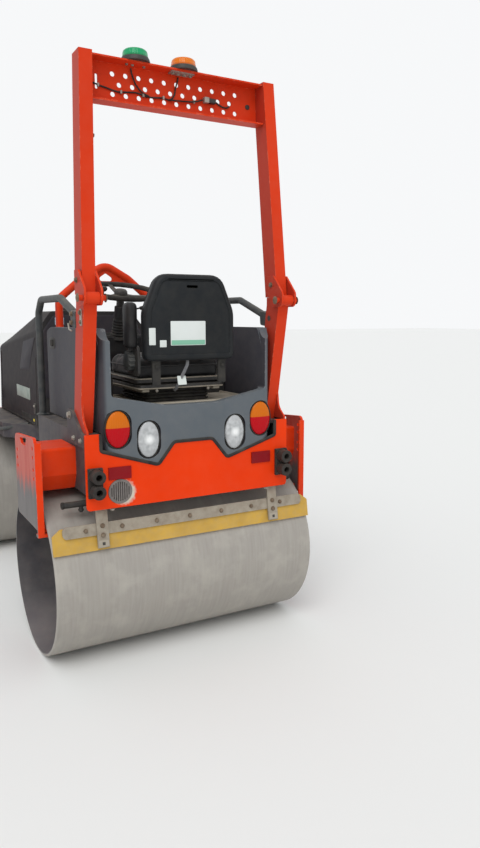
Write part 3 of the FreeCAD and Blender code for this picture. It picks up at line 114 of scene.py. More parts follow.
class Canvas:
    """One material's tree, with the places and directions that its patterns follow."""

    def __init__(self, tree: bpy.types.NodeTree) -> None:
        """Clear the tree and read the coordinates."""
        tree.nodes.clear()
        self.tree = tree
        read = add_node(tree, "ShaderNodeTexCoord").outputs
        self.where = read["Object"]
        self.place = add_node(tree, "ShaderNodeSeparateXYZ", links={0: self.where}).outputs
        self.facing = add_node(tree, "ShaderNodeSeparateXYZ", links={0: read["Normal"]}).outputs

    def scaled(self, value: Socket, start: float, end: float, low: float = 0.0, high: float = 1.0) -> Socket:
        """A value that goes from low at start to high at end, and stays there beyond."""
        span = {"From Min": start, "From Max": end, "To Min": low, "To Max": high}
        return add_node(self.tree, "ShaderNodeMapRange", values=span, links={"Value": value}).outputs[0]

    def maths(self, operation: str, *terms: object) -> Socket:
        """Work out one operation.

        Args:
            operation: The math node's operation.
            terms: Its inputs in order, each a socket or a number.

        Returns:
            The result, between 0 and 1 for a product.
        """
        settings = {"operation": operation, "use_clamp": operation == "MULTIPLY"}
        made = add_node(self.tree, "ShaderNodeMath", settings)
        for number, term in enumerate(terms):
            self.feed(made.inputs[number], term)
        return made.outputs[0]

    def feed(self, into: Socket, source: object) -> None:
        """Link a socket, or write a plain value."""
        if isinstance(source, bpy.types.NodeSocket):
            self.tree.links.new(source, into)
        else:
            into.default_value = source

    def noise(self, size_mm: float, detail: float, stretch: Optional[Point] = None) -> Socket:
        """Noise whose features are about this many millimetres.

        Args:
            size_mm: Real size of its features.
            detail: Finer octaves.
            stretch: How much finer it is along each axis.

        Returns:
            The noise's value.
        """
        where = self.where
        if stretch:
            scale = {"Scale": stretch}
            where = add_node(self.tree, "ShaderNodeMapping", None, scale, {"Vector": where}).outputs[0]
        values = {"Scale": 1000.0 / size_mm, "Detail": detail, "Roughness": 0.55}
        return add_node(self.tree, "ShaderNodeTexNoise", None, values, {"Vector": where}).outputs[0]

    def mix(self, share: Socket, first: object, second: object) -> Socket:
        """Mix two colours.

        Args:
            share: How much of the second shows.
            first: The colour at 0, a socket or a hex value.
            second: The colour at 1, a socket or a hex value.

        Returns:
            The mixed colour.
        """
        made = add_node(self.tree, "ShaderNodeMix", {"data_type": "RGBA"}, None, {0: share})
        for number, colour in ((6, first), (7, second)):
            self.feed(made.inputs[number], linear(colour) if isinstance(colour, str) else colour)
        return made.outputs[2]

    def away(self, centre: Point, x: bool = True, y: bool = True, folded: bool = False) -> Socket:
        """Distance from a point.

        Args:
            centre: The point.
            x: False to measure across the machine only.
            y: False to measure in the side view only.
            folded: True to fold the right side onto the left.

        Returns:
            The distance in metres.
        """
        links = {2: self.place[2]}
        if x:
            links[0] = self.place[0]
        if y:
            links[1] = self.maths("ABSOLUTE", self.place[1]) if folded else self.place[1]
        flat = add_node(self.tree, "ShaderNodeCombineXYZ", links=links).outputs[0]
        made = add_node(
            self.tree, "ShaderNodeVectorMath", {"operation": "DISTANCE"}, {1: centre}, {0: flat}
        )
        return made.outputs["Value"]

    def bump(self, height: Socket, lift: float, strength: float) -> Socket:
        """A normal that stands up by so many metres."""
        values = {"Strength": strength, "Distance": lift}
        return add_node(self.tree, "ShaderNodeBump", None, values, {"Height": height}).outputs[0]

    def flutes(self, pitch_mm: float) -> Socket:
        """Fine upright flutes as bump, side by side across Y."""
        values = {"Scale": 1000.0 / pitch_mm / 6.283, "Distortion": 0.0}
        links = {"Vector": self.where}
        waves = add_node(self.tree, "ShaderNodeTexWave", {"bands_direction": "Y"}, values, links)
        return self.bump(waves.outputs[1], 0.001, 0.5)


# Finishes


@dataclass(frozen=True)
class Finish:
    """A surface finish: what it is made of, its colour, grain, dust and wear, and for some a painted shade
    that darkens faces looking sideways.

    Sizes end in _mm. A share is from 0 to 1.
    """

    name: str
    colour: str
    roughness: float = 0.5
    metallic: float = 0.0
    ior: float = 1.45
    drift_colour: str = ""
    drift_mm: float = 260.0
    shaded_side_colour: str = ""
    grain_mm: float = 1.2
    grain_lift_mm: float = 0.08
    dust: float = 0.25
    dust_colour: str = "#B4A994"
    dust_mm: float = 45.0
    dust_height: float = 0.75
    worn_edge_mm: float = 0.0
    worn_colour: str = "#5B514A"

    def material(self) -> bpy.types.Material:
        """Build the material once, and reuse it after that.

        Returns:
            The Blender material.
        """
        known = bpy.data.materials.get(self.name)
        if known:
            return known
        made = bpy.data.materials.new(self.name)
        made.use_nodes = True
        canvas = Canvas(made.node_tree)
        shader = add_node(canvas.tree, "ShaderNodeBsdfPrincipled", values={"Metallic": self.metallic})
        if self.metallic < METAL_FROM:
            shader.inputs["IOR"].default_value = self.ior
        colour, dusty = self.dusted(canvas, self.worn_edges(canvas, self.base_colour(canvas)))
        canvas.feed(shader.inputs["Base Color"], colour)
        rough = canvas.scaled(dusty, 0.0, 1.0, self.roughness, max(self.roughness, DUSTY_ROUGHNESS))
        canvas.feed(shader.inputs["Roughness"], rough)
        canvas.feed(shader.inputs["Normal"], self.relief(canvas))
        add_node(canvas.tree, "ShaderNodeOutputMaterial", links={"Surface": shader.outputs[0]})
        return made

    def base_colour(self, canvas: Canvas) -> Socket:
        """Colour that drifts slowly to a second one, as sun and weather leave it, then darker on faces that
        look sideways where a shaded side colour is given, as painted shade.

        Args:
            canvas: The material's canvas.

        Returns:
            The colour.
        """
        drift = canvas.scaled(canvas.noise(self.drift_mm, 3.0), 0.35, 0.65)
        colour = canvas.mix(drift, self.colour, self.drift_colour or self.colour)
        if not self.shaded_side_colour:
            return colour
        # Painted shade: faces that look sideways turn to the darker shaded side colour.
        sideways = canvas.scaled(canvas.maths("ABSOLUTE", canvas.facing[1]), 0.6, 0.8)
        return canvas.mix(sideways, colour, self.shaded_side_colour)

    def worn_edges(self, canvas: Canvas, colour: Socket) -> Socket:
        """Rub the colour off along outer edges, in broken patches.

        Args:
            canvas: The material's canvas.
            colour: The colour so far.

        Returns:
            The colour with its edges worn.
        """
        if not self.worn_edge_mm:
            return colour
        tree = canvas.tree
        eased = add_node(tree, "ShaderNodeBevel", {"samples": 3}, {"Radius": self.worn_edge_mm / 1000})
        true_normal = add_node(tree, "ShaderNodeNewGeometry").outputs["Normal"]
        normals = {0: eased.outputs[0], 1: true_normal}
        agree = add_node(tree, "ShaderNodeVectorMath", {"operation": "DOT_PRODUCT"}, None, normals)
        near_edge = canvas.scaled(agree.outputs["Value"], 0.99, 0.9)
        patches = canvas.scaled(canvas.noise(22.0, 6.0), 0.52, 0.62)
        return canvas.mix(canvas.maths("MULTIPLY", near_edge, patches), colour, self.worn_colour)

    def dusted(self, canvas: Canvas, colour: Socket) -> tuple[Socket, Socket]:
        """Lay site dust in patches, more on faces that look up and lower down.

        Args:
            canvas: The material's canvas.
            colour: The colour so far.

        Returns:
            The dusted colour, and how dusty each place is.
        """
        low = canvas.scaled(canvas.place[2], self.dust_height, self.dust_height - 0.35)
        facing_up = canvas.scaled(canvas.facing[2], 0.4, 1.0, 0.0, 0.8)
        settled = canvas.maths("MAXIMUM", low, facing_up)
        amount = canvas.scaled(settled, 0.0, 1.0, 0.35 * self.dust, self.dust)
        patches = canvas.scaled(canvas.noise(self.dust_mm, 9.0), 0.32, 0.7, 0.25, 1.6)
        dusty = canvas.maths("MULTIPLY", amount, patches)
        return canvas.mix(dusty, colour, self.dust_colour), dusty

    def relief(self, canvas: Canvas) -> Socket:
        """Fine grain as bump."""
        return canvas.bump(canvas.noise(self.grain_mm, 2.0), self.grain_lift_mm / 1000, 0.6)


@dataclass(frozen=True)
class StainedEnamel(Finish):
    """Enamel with one pale stain round a point, where dust is blown out."""

    stain_at: Point = (REAR_AXLE - 0.350, 0.313, 0.750)
    stain_mm: float = 47.0

    def worn_edges(self, canvas: Canvas, colour: Socket) -> Socket:
        """Wear the edges and lay the stain, with a ragged outline.

        Args:
            canvas: The material's canvas.
            colour: The colour so far.

        Returns:
            The colour with edges and stain.
        """
        colour = Finish.worn_edges(self, canvas, colour)
        reach = canvas.maths("MULTIPLY_ADD", canvas.noise(16.0, 5.0), 0.03, canvas.away(self.stain_at))
        edge = self.stain_mm / 1000
        return canvas.mix(canvas.scaled(reach, edge + 0.024, edge + 0.010), colour, STAIN_COLOUR)


@dataclass(frozen=True)
class DrumSteel(Finish):
    """Rolled steel shell, polished by the ground, with a dark inside, darkened further as painted shade of
    the recess.
    """

    axle_x: float = REAR_AXLE
    inside_radius: float = 0.352

    def base_colour(self, canvas: Canvas) -> Socket:
        """Streaks that run round the drum, mottled with dry dirt, a dark inside that is partly painted shade
        of the recess, and dust low down inside.

        Args:
            canvas: The material's canvas.

        Returns:
            The colour.
        """
        streaks = canvas.scaled(canvas.noise(60.0, 7.0, (0.35, 4.5, 0.35)), 0.3, 0.7)
        steel = canvas.mix(streaks, self.colour, self.drift_colour)
        mottle = canvas.scaled(canvas.noise(95.0, 8.0), 0.5, 0.74, 0.0, 0.6)
        steel = canvas.mix(mottle, steel, "#B5B0A7")
        # The recessed inside: dark steel made darker as painted shade of the recess, then dust low down.
        inside = canvas.mix(canvas.noise(70.0, 8.0), "#35353B", "#4A4A50")
        inside = canvas.mix(canvas.scaled(canvas.place[2], 0.16, 0.05), inside, "#6A6669")
        radius = canvas.away((self.axle_x, 0.0, AXLE_HEIGHT), y=False)
        beyond = canvas.scaled(radius, self.inside_radius - 0.002, self.inside_radius)
        return canvas.mix(beyond, inside, steel)


@dataclass(frozen=True)
class SplitLens(Finish):
    """Lamp lens in two colours that meet at one height, with moulded flutes."""

    upper_colour: str = "#F0901E"
    split_height: float = 1.012

    def base_colour(self, canvas: Canvas) -> Socket:
        """Upper and lower lens colours."""
        above = canvas.scaled(canvas.place[2], self.split_height - 0.001, self.split_height + 0.001)
        return canvas.mix(above, self.colour, self.upper_colour)

    def relief(self, canvas: Canvas) -> Socket:
        """Moulded flutes across the lens."""
        return canvas.flutes(LENS_FLUTE_MM)


@dataclass(frozen=True)
class TreadPlate(Finish):
    """Floor plate with raised tears, 30 mm apart."""

    pitch_mm: float = 30.0

    def relief(self, canvas: Canvas) -> Socket:
        """Raised dots on a grid."""
        values = {"Scale": 1000.0 / self.pitch_mm, "Randomness": 0.0}
        cells = add_node(canvas.tree, "ShaderNodeTexVoronoi", None, values, {"Vector": canvas.where})
        return canvas.bump(canvas.scaled(cells.outputs[0], 0.35, 0.2), 0.002, 1.0)


@dataclass(frozen=True)
class YokeEnamel(Finish):
    """Enamel on the yoke plates: bright on the beams, scoured and dusty on the outer faces."""

    scoured_colour: str = "#B4493C"
    scoured_pale: str = "#BE6458"
    stone_dark: str = "#625E5E"
    stone_colour: str = "#74706F"
    face_y: float = 0.615
    dust_line: float = 0.815

    def base_colour(self, canvas: Canvas) -> Socket:
        """Pink scoured enamel over a grey lower half, on outer faces only, in rough vertical streaks.

        Args:
            canvas: The material's canvas.

        Returns:
            The colour.
        """
        plain = Finish.base_colour(self, canvas)
        out = canvas.maths("ABSOLUTE", canvas.place[1])
        outer = canvas.scaled(out, self.face_y - 0.001, self.face_y + 0.001)
        sideways = canvas.scaled(canvas.maths("ABSOLUTE", canvas.facing[1]), 0.5, 0.7)
        streaks = canvas.noise(28.0, 6.0, (1.0, 1.0, 0.16))
        level = canvas.maths("MULTIPLY_ADD", streaks, 0.22, canvas.place[2])
        clean = canvas.scaled(level, self.dust_line + 0.02, self.dust_line + 0.09)
        worn = canvas.mix(canvas.scaled(streaks, 0.35, 0.7), self.scoured_colour, self.scoured_pale)
        grey = canvas.mix(canvas.scaled(streaks, 0.3, 0.75), self.stone_dark, self.stone_colour)
        return canvas.mix(canvas.maths("MULTIPLY", outer, sideways), plain, canvas.mix(clean, grey, worn))


@dataclass(frozen=True)
class PlatedBowl(Finish):
    """Clear lens over a plated bowl, with its reflections painted on: a bright middle, a grey ring and a
    light rim.
    """

    centre: Point = (0.0, 0.199, 0.955)
    reach: float = 0.060
    flute_mm: float = 6.0

    def base_colour(self, canvas: Canvas) -> Socket:
        """Rings of bright and grey round each lamp's centre: painted reflections of the plated bowl.

        Args:
            canvas: The material's canvas.

        Returns:
            The colour.
        """
        away = canvas.away(self.centre, x=False, folded=True)
        silver = canvas.mix(canvas.scaled(canvas.noise(24.0, 1.0), 0.38, 0.62), "#A6A8A9", "#BEC0C1")
        # Painted reflection: a bright glint in the middle of the bowl, and a light rim round it.
        painted_glint = canvas.mix(canvas.scaled(away, self.reach * 0.42, self.reach * 0.12), silver, "#F2F3F2")
        return canvas.mix(canvas.scaled(away, self.reach * 0.75, self.reach * 1.05), painted_glint, "#B4B6B7")

    def relief(self, canvas: Canvas) -> Socket:
        """Moulded flutes across the lens."""
        return canvas.flutes(self.flute_mm)


class Shop:
    """The machine's finishes, each named for the real one."""

    # Gloss machine enamel sprayed on steel: clean bright orange with a soft shine
    orange = Finish(
        "sprayed_orange_enamel", "#EC3B00", 0.42, ior=1.2, drift_colour="#E23600", dust=0.08, grain_mm=3.0,
        grain_lift_mm=0.05, worn_edge_mm=3.0, worn_colour="#8A4A2E",
    )
    # The same enamel on the bumper, stained pale where the sounder blows dust
    bumper = StainedEnamel(
        "sprayed_orange_enamel_stained", "#EC3B00", 0.4, ior=1.2, drift_colour="#E63800", dust=0.04,
        grain_mm=3.0, grain_lift_mm=0.05, worn_edge_mm=2.0, worn_colour="#B0552E",
    )
    # Sprayed enamel on the roll-over tubes, drifting a little in tone, with painted shade darkening the faces
    # that look sideways
    frame_orange = Finish(
        "weathered_orange_enamel_shaded_sides", "#D83A14", 0.45, ior=1.2, drift_colour="#CE3410", drift_mm=500.0,
        shaded_side_colour="#B23420", dust=0.05, grain_mm=3.0, grain_lift_mm=0.05, worn_edge_mm=3.0,
        worn_colour="#E8876A",
    )
    # Side plates near the ground: the enamel is scoured pink and greyed by stone dust low down
    yoke = YokeEnamel(
        "scoured_orange_enamel", "#E83C04", 0.45, ior=1.2, drift_colour="#DE3602", dust=0.10,
        dust_colour="#9A8F86", dust_height=0.7, grain_mm=2.0, worn_edge_mm=3.0, worn_colour="#D98A72",
    )
    # Satin chassis enamel: near-black violet grey
    chassis = Finish(
        "satin_chassis_enamel", "#3E3A41", 0.55, ior=1.3, drift_colour="#36333A", dust=0.2, worn_edge_mm=2.0,
    )
    # Rotationally moulded polyethylene: even grey skin with a fine leathery grain, its sideways faces
    # darkened as painted shade
    cover = Finish(
        "moulded_polyethylene_grey", "#5F656B", 0.55, ior=1.3, drift_colour="#596066", shaded_side_colour="#3A3940",
        dust=0.08, dust_height=1.0, grain_mm=1.5, grain_lift_mm=0.12, worn_edge_mm=5.0, worn_colour="#8E9092",
    )
    # Moulded hood panels: the same plastic, almost black, with painted shade darkening its sides
    hood = Finish(
        "moulded_polyethylene_dark", "#2E2F31", 0.6, ior=1.18, drift_colour="#2A2A2D", shaded_side_colour="#242126",
        dust=0.08, dust_height=0.95, grain_mm=1.5, grain_lift_mm=0.1, worn_edge_mm=3.0, worn_colour="#6C6C70",
    )
    # The hood's plastic painted a little lighter as painted light, for its side facets and its rear panel
    hood_lit = Finish(
        "moulded_polyethylene_lit", "#312F36", 0.6, ior=1.18, drift_colour="#35343A", dust=0.08,
        dust_height=0.95, grain_mm=1.5, grain_lift_mm=0.1,
    )
    # Extruded rubber: matt black with a faint grey bloom
    rubber = Finish("extruded_rubber", "#141517", 0.75, ior=1.35, drift_colour="#1E1F22", dust=0.14)
    # Injection-moulded black plastic: even low sheen
    black = Finish(
        "moulded_abs_black", "#1C1D20", 0.5, ior=1.4, drift_colour="#232427", dust=0.16, grain_mm=1.0,
        worn_edge_mm=1.5, worn_colour="#3C3D40",
    )
    # Moulded seat shell: near-black with a fine texture and scuffed rim
    shell = Finish(
        "moulded_seat_shell", "#14181C", 0.5, ior=1.3, drift_colour="#181C20", dust=0.04, dust_height=0.9,
        grain_mm=1.4, grain_lift_mm=0.12, worn_edge_mm=2.5, worn_colour="#303439",
    )
    # Black powder coat on castings, caked with stone dirt
    casting = Finish(
        "powder_coated_casting", "#201E1E", 0.65, ior=1.35, drift_colour="#2E2A28", dust=0.3, dust_mm=14.0,
        dust_colour="#6A5F55", grain_mm=2.5, grain_lift_mm=0.4, worn_edge_mm=1.5, worn_colour="#55504A",
    )
    # Painted handrail: dark grey enamel, dusty along its top
    handrail = Finish(
        "enamelled_handrail", "#2C3237", 0.5, ior=1.35, drift_colour="#262C31", dust=0.4,
        dust_colour="#8C877B", dust_height=0.9,
    )
    # Seat cover: vinyl-coated cloth with a 1.5 mm pebble grain
    vinyl = Finish(
        "seat_vinyl_black", "#16171A", 0.5, ior=1.35, drift_colour="#1B1C20", dust=0.06, grain_mm=1.6,
        grain_lift_mm=0.25,
    )
    # Mild steel bar under stone dust, beige, with rusty spots
    bar = Finish(
        "dusty_mild_steel", "#9A9182", 0.75, metallic=0.1, drift_colour="#85796A", drift_mm=45.0, dust=0.45,
        dust_colour="#B3AA9B", dust_mm=22.0, grain_lift_mm=0.2, worn_edge_mm=2.0, worn_colour="#6E5440",
    )
    # Grey sounder housing with dust in its slots
    sounder = Finish(
        "moulded_abs_grey", "#746E6C", 0.65, drift_colour="#67615F", drift_mm=20.0, dust=0.35, dust_mm=10.0,
        dust_colour="#A89F92",
    )
    # Zinc-plated straps and fasteners, dulled
    zinc = Finish(
        "dull_zinc_plate", "#A29D95", 0.5, metallic=0.45, drift_colour="#8B857C", drift_mm=40.0, dust=0.3,
        worn_edge_mm=1.0, worn_colour="#6B4A36",
    )
    # Bolts with brown rust bloom
    rusty = Finish(
        "rusty_fastener", "#77634F", 0.75, metallic=0.2, drift_colour="#5A4636", drift_mm=12.0, dust=0.3,
    )
    # Thin dusty steel edges and trays under the seat: pale beige
    tray = Finish(
        "dusty_pressed_steel", "#A59C8C", 0.7, metallic=0.1, drift_colour="#8E8576", drift_mm=60.0, dust=0.5,
        dust_colour="#B9B0A1", dust_mm=30.0,
    )
    # Cast polyurethane scraper: chalky yellow, scuffed at its edges
    scraper = Finish(
        "cast_polyurethane_yellow", "#CDA23C", 0.6, drift_colour="#BD9436", drift_mm=90.0, dust=0.22,
        dust_mm=26.0, dust_colour="#A3957A", worn_edge_mm=4.0, worn_colour="#8F8472",
    )
    # Steel drum shells: rolled smooth by gravel and dried pale with stone dust, their recessed insides
    # darkened as painted shade
    drum_rear = DrumSteel(
        "rolled_steel_shell_rear", "#A39E97", 0.6, metallic=0.1, drift_colour="#99948D", dust=0.12,
        dust_colour="#B3ADA2", dust_mm=120.0, grain_mm=2.0, grain_lift_mm=0.15,
    )
    drum_front = DrumSteel(
        "rolled_steel_shell_front", "#A39E97", 0.6, metallic=0.1, drift_colour="#99948D", dust=0.12,
        dust_colour="#B3ADA2", dust_mm=120.0, grain_mm=2.0, grain_lift_mm=0.15, axle_x=FRONT_AXLE,
    )
    # Hard chromed rod: a mirror that shows the floor and sky
    chrome = Finish("hard_chrome", "#D8D9DC", 0.12, metallic=1.0, dust=0.05, grain_lift_mm=0.0)
    # Cast engine block, dark and oily
    iron = Finish("cast_iron_engine", "#3A3A3C", 0.6, metallic=0.3, dust=0.2, grain_mm=3.0, grain_lift_mm=0.4)
    # Cast aluminium covers and pulleys on the engine
    alloy = Finish("cast_aluminium", "#9A9B9C", 0.45, metallic=0.8, drift_colour="#87888A", dust=0.15)
    # Floor plate: dark enamel under a film of mud
    floor = TreadPlate("tread_plate_enamel", "#3A3A3D", 0.6, dust=0.5, dust_height=0.9)
    # Acrylic lenses: amber over red
    tail = SplitLens("acrylic_lens_amber_red", "#B80012", 0.14, ior=1.25, dust=0.02, upper_colour="#CF6A0C")
    # Clear lens over a plated bowl: silver with a bright middle and a light rim, both painted reflections
    clear = PlatedBowl("acrylic_lens_clear", "#8F9190", 0.14, dust=0.04)
    # The head lamps' lenses, with the same painted reflections round each centre
    head = PlatedBowl(
        "head_lamp_lens_clear", "#8F9190", 0.12, dust=0.06, centre=(0.0, 0.385, 0.930), reach=0.040,
    )
    reflector = Finish(
        "prism_reflector_red", "#8E0012", 0.3, ior=1.25, dust=0.04, drift_colour="#80000E", grain_mm=3.0,
        grain_lift_mm=0.5,
    )
    # Polycarbonate beacon lenses: clear saturated colour with fine ribs
    green = SplitLens(
        "polycarbonate_green", "#0A8A54", 0.15, ior=1.3, dust=0.04, upper_colour="#109A62",
        split_height=2.438,
    )
    amber = SplitLens(
        "polycarbonate_amber", "#CC6206", 0.15, ior=1.3, dust=0.04, upper_colour="#DE740E",
        split_height=2.438,
    )
    # Blank label films
    label = Finish("label_film_white", "#DDE2DF", 0.4, dust=0.06, drift_colour="#D4DAD6", grain_lift_mm=0.0)
    label_green = Finish("label_film_green", "#7DB79C", 0.4, dust=0.05, grain_lift_mm=0.0)
    label_yellow = Finish("label_film_yellow", "#C9B23A", 0.4, dust=0.15, grain_lift_mm=0.0)
    label_blue = Finish("label_film_blue", "#A9CBDD", 0.4, dust=0.1, grain_lift_mm=0.0)
    label_grey = Finish(
        "label_film_weathered", "#74817A", 0.45, drift_colour="#8B958E", drift_mm=50.0, dust=0.25,
        grain_lift_mm=0.0,
    )
    # Woven polyester strap
    strap = Finish("woven_polyester_grey", "#6E6F72", 0.8, drift_colour="#606166", drift_mm=15.0, dust=0.2)
    # Pale plaster of the studio floor
    studio = Finish("studio_floor", "#E8E8E6", 0.85, dust=0.0, grain_lift_mm=0.0)


# Mesh helpers


def aimed(at: Point, along: Point = UP, across: Point = (0.0, 0.0, 0.0)) -> Matrix:
    """A place whose own Z points along a direction.

    Args:
        at: The origin, in metres.
        along: Where its Z points.
        across: Where its X points, or zero for any.

    Returns:
        The matrix from its own frame to the shared one.
    """
    z = Vector(along).normalized()
    hint = Vector(across)
    if hint.length < 1e-9:
        hint = Vector((0, 0, 1)) if abs(z.z) < 0.9 else Vector((1, 0, 0))
        hint = hint.cross(z)
    x = (hint - z * hint.dot(z)).normalized()
    turn = Matrix((x, z.cross(x), z)).transposed().to_4x4()
    return Matrix.Translation(Vector(at)) @ turn


def level_at(z: float) -> Matrix:
    """A level place at a height, with the machine's own X and Y."""
    return aimed((0.0, 0.0, z), UP, (1.0, 0.0, 0.0))


def spots(count: int, radius: float, start: float = 0.0) -> list[tuple[float, float]]:
    """Points evenly round a circle."""
    turns = [start + 2 * math.pi * i / count for i in range(count)]
    return [(radius * math.cos(t), radius * math.sin(t)) for t in turns]


def disc(radius: float, low: float, high: float) -> list[Level]:
    """Profile of a flat disc."""
    return [(radius, low), (radius, high), (0.0, high)]


def rounded(corners: Sequence[Corner], steps: int = 5) -> list[Vector]:
    """Round the corners of a closed outline.

    Args:
        corners: (x, y) or (x, y, radius), in order.
        steps: Points in each rounded corner, less one.

    Returns:
        The outline's points.
    """
    points: list[Vector] = []
    count = len(corners)
    for i, corner in enumerate(corners):
        here = Vector(corner[:2])
        radius = corner[2] if len(corner) > 2 else 0.0
        if not radius:
            points.append(here)
            continue
        to_a = (Vector(corners[i - 1][:2]) - here).normalized()
        to_b = (Vector(corners[(i + 1) % count][:2]) - here).normalized()
        run = radius / math.tan(to_a.angle(to_b) / 2)
        start, end = here + to_a * run, here + to_b * run
        for k in range(steps + 1):
            t = k / steps
            points.append((1 - t) ** 2 * start + 2 * t * (1 - t) * here + t * t * end)
    return points


def inset(corners: Sequence[Corner], distance: float) -> list[Corner]:
    """Move an outline inwards, its corner radii shrinking with it.

    Args:
        corners: (x, y) or (x, y, radius), in order.
        distance: How far inwards, in metres.

    Returns:
        The moved corners.
    """
    count = len(corners)
    area = sum(a[0] * b[1] - a[1] * b[0] for a, b in zip(corners, list(corners[1:]) + [corners[0]]))
    turn = 1.0 if area > 0 else -1.0
    moved: list[Corner] = []
    for i, corner in enumerate(corners):
        here = Vector(corner[:2])
        into = (here - Vector(corners[i - 1][:2])).normalized()
        onward = (Vector(corners[(i + 1) % count][:2]) - here).normalized()
        side_a = Vector((-into.y, into.x)) * turn
        side_b = Vector((-onward.y, onward.x)) * turn
        point = here + (side_a + side_b) * (distance / (1.0 + side_a.dot(side_b)))
        if len(corner) > 2 and corner[2]:
            outer = (into.x * onward.y - into.y * onward.x) * turn > 0
            radius = max(corner[2] + (-distance if outer else distance), 0.0004)
            moved.append((point.x, point.y, radius))
        else:
            moved.append((point.x, point.y))
    return moved


def block(low: Sequence[float], high: Sequence[float], radius: float = 0.0) -> list[Corner]:
    """A rectangle's corners, rounded by a radius."""
    (x0, y0), (x1, y1) = low, high
    return [(x0, y0, radius), (x1, y0, radius), (x1, y1, radius), (x0, y1, radius)]


def centred(x: float, y: float, radius: float) -> list[Corner]:
    """A rectangle round zero, by its half sizes."""
    return block((-x, -y), (x, y), radius)


def crowned(height: float, ease: float, base: float = 0.0) -> list[Level]:
    """Levels of a raised shape whose upper edge is rounded over.

    Args:
        height: How far it stands up.
        ease: Radius of its rounded edge.
        base: Height that it starts from.

    Returns:
        (inset, height) pairs, from the base to the top.
    """
    turns = (0, 0.4, 0.8, 1.2, 1.571)
    return [(0.0, base)] + [(ease * (1 - math.cos(t)), height - ease * (1 - math.sin(t))) for t in turns]


class Looks(Enum):
    """Which way a flat face looks: its outward axis, its own X axis, and the sign of that axis."""

    REAR = ((-1.0, 0.0, 0.0), (0.0, -1.0, 0.0), -1.0)
    FRONT = ((1.0, 0.0, 0.0), (0.0, 1.0, 0.0), 1.0)
    LEFT = ((0.0, 1.0, 0.0), (-1.0, 0.0, 0.0), -1.0)
    RIGHT = ((0.0, -1.0, 0.0), (1.0, 0.0, 0.0), 1.0)

    def place(self, at: float) -> Matrix:
        """Where the face is: at an X, or for a side face at a distance from the middle."""
        along, across, _ = self.value
        return aimed((abs(along[0]) * at, along[1] * at, 0.0), along, across)

    def seen(self, corners: Sequence[Corner]) -> list[Corner]:
        """Corners given in the machine's own axes, as the face's own X and Y."""
        return [(self.value[2] * c[0],) + tuple(c[1:]) for c in corners]


SIDES = ((1, Looks.LEFT), (-1, Looks.RIGHT))


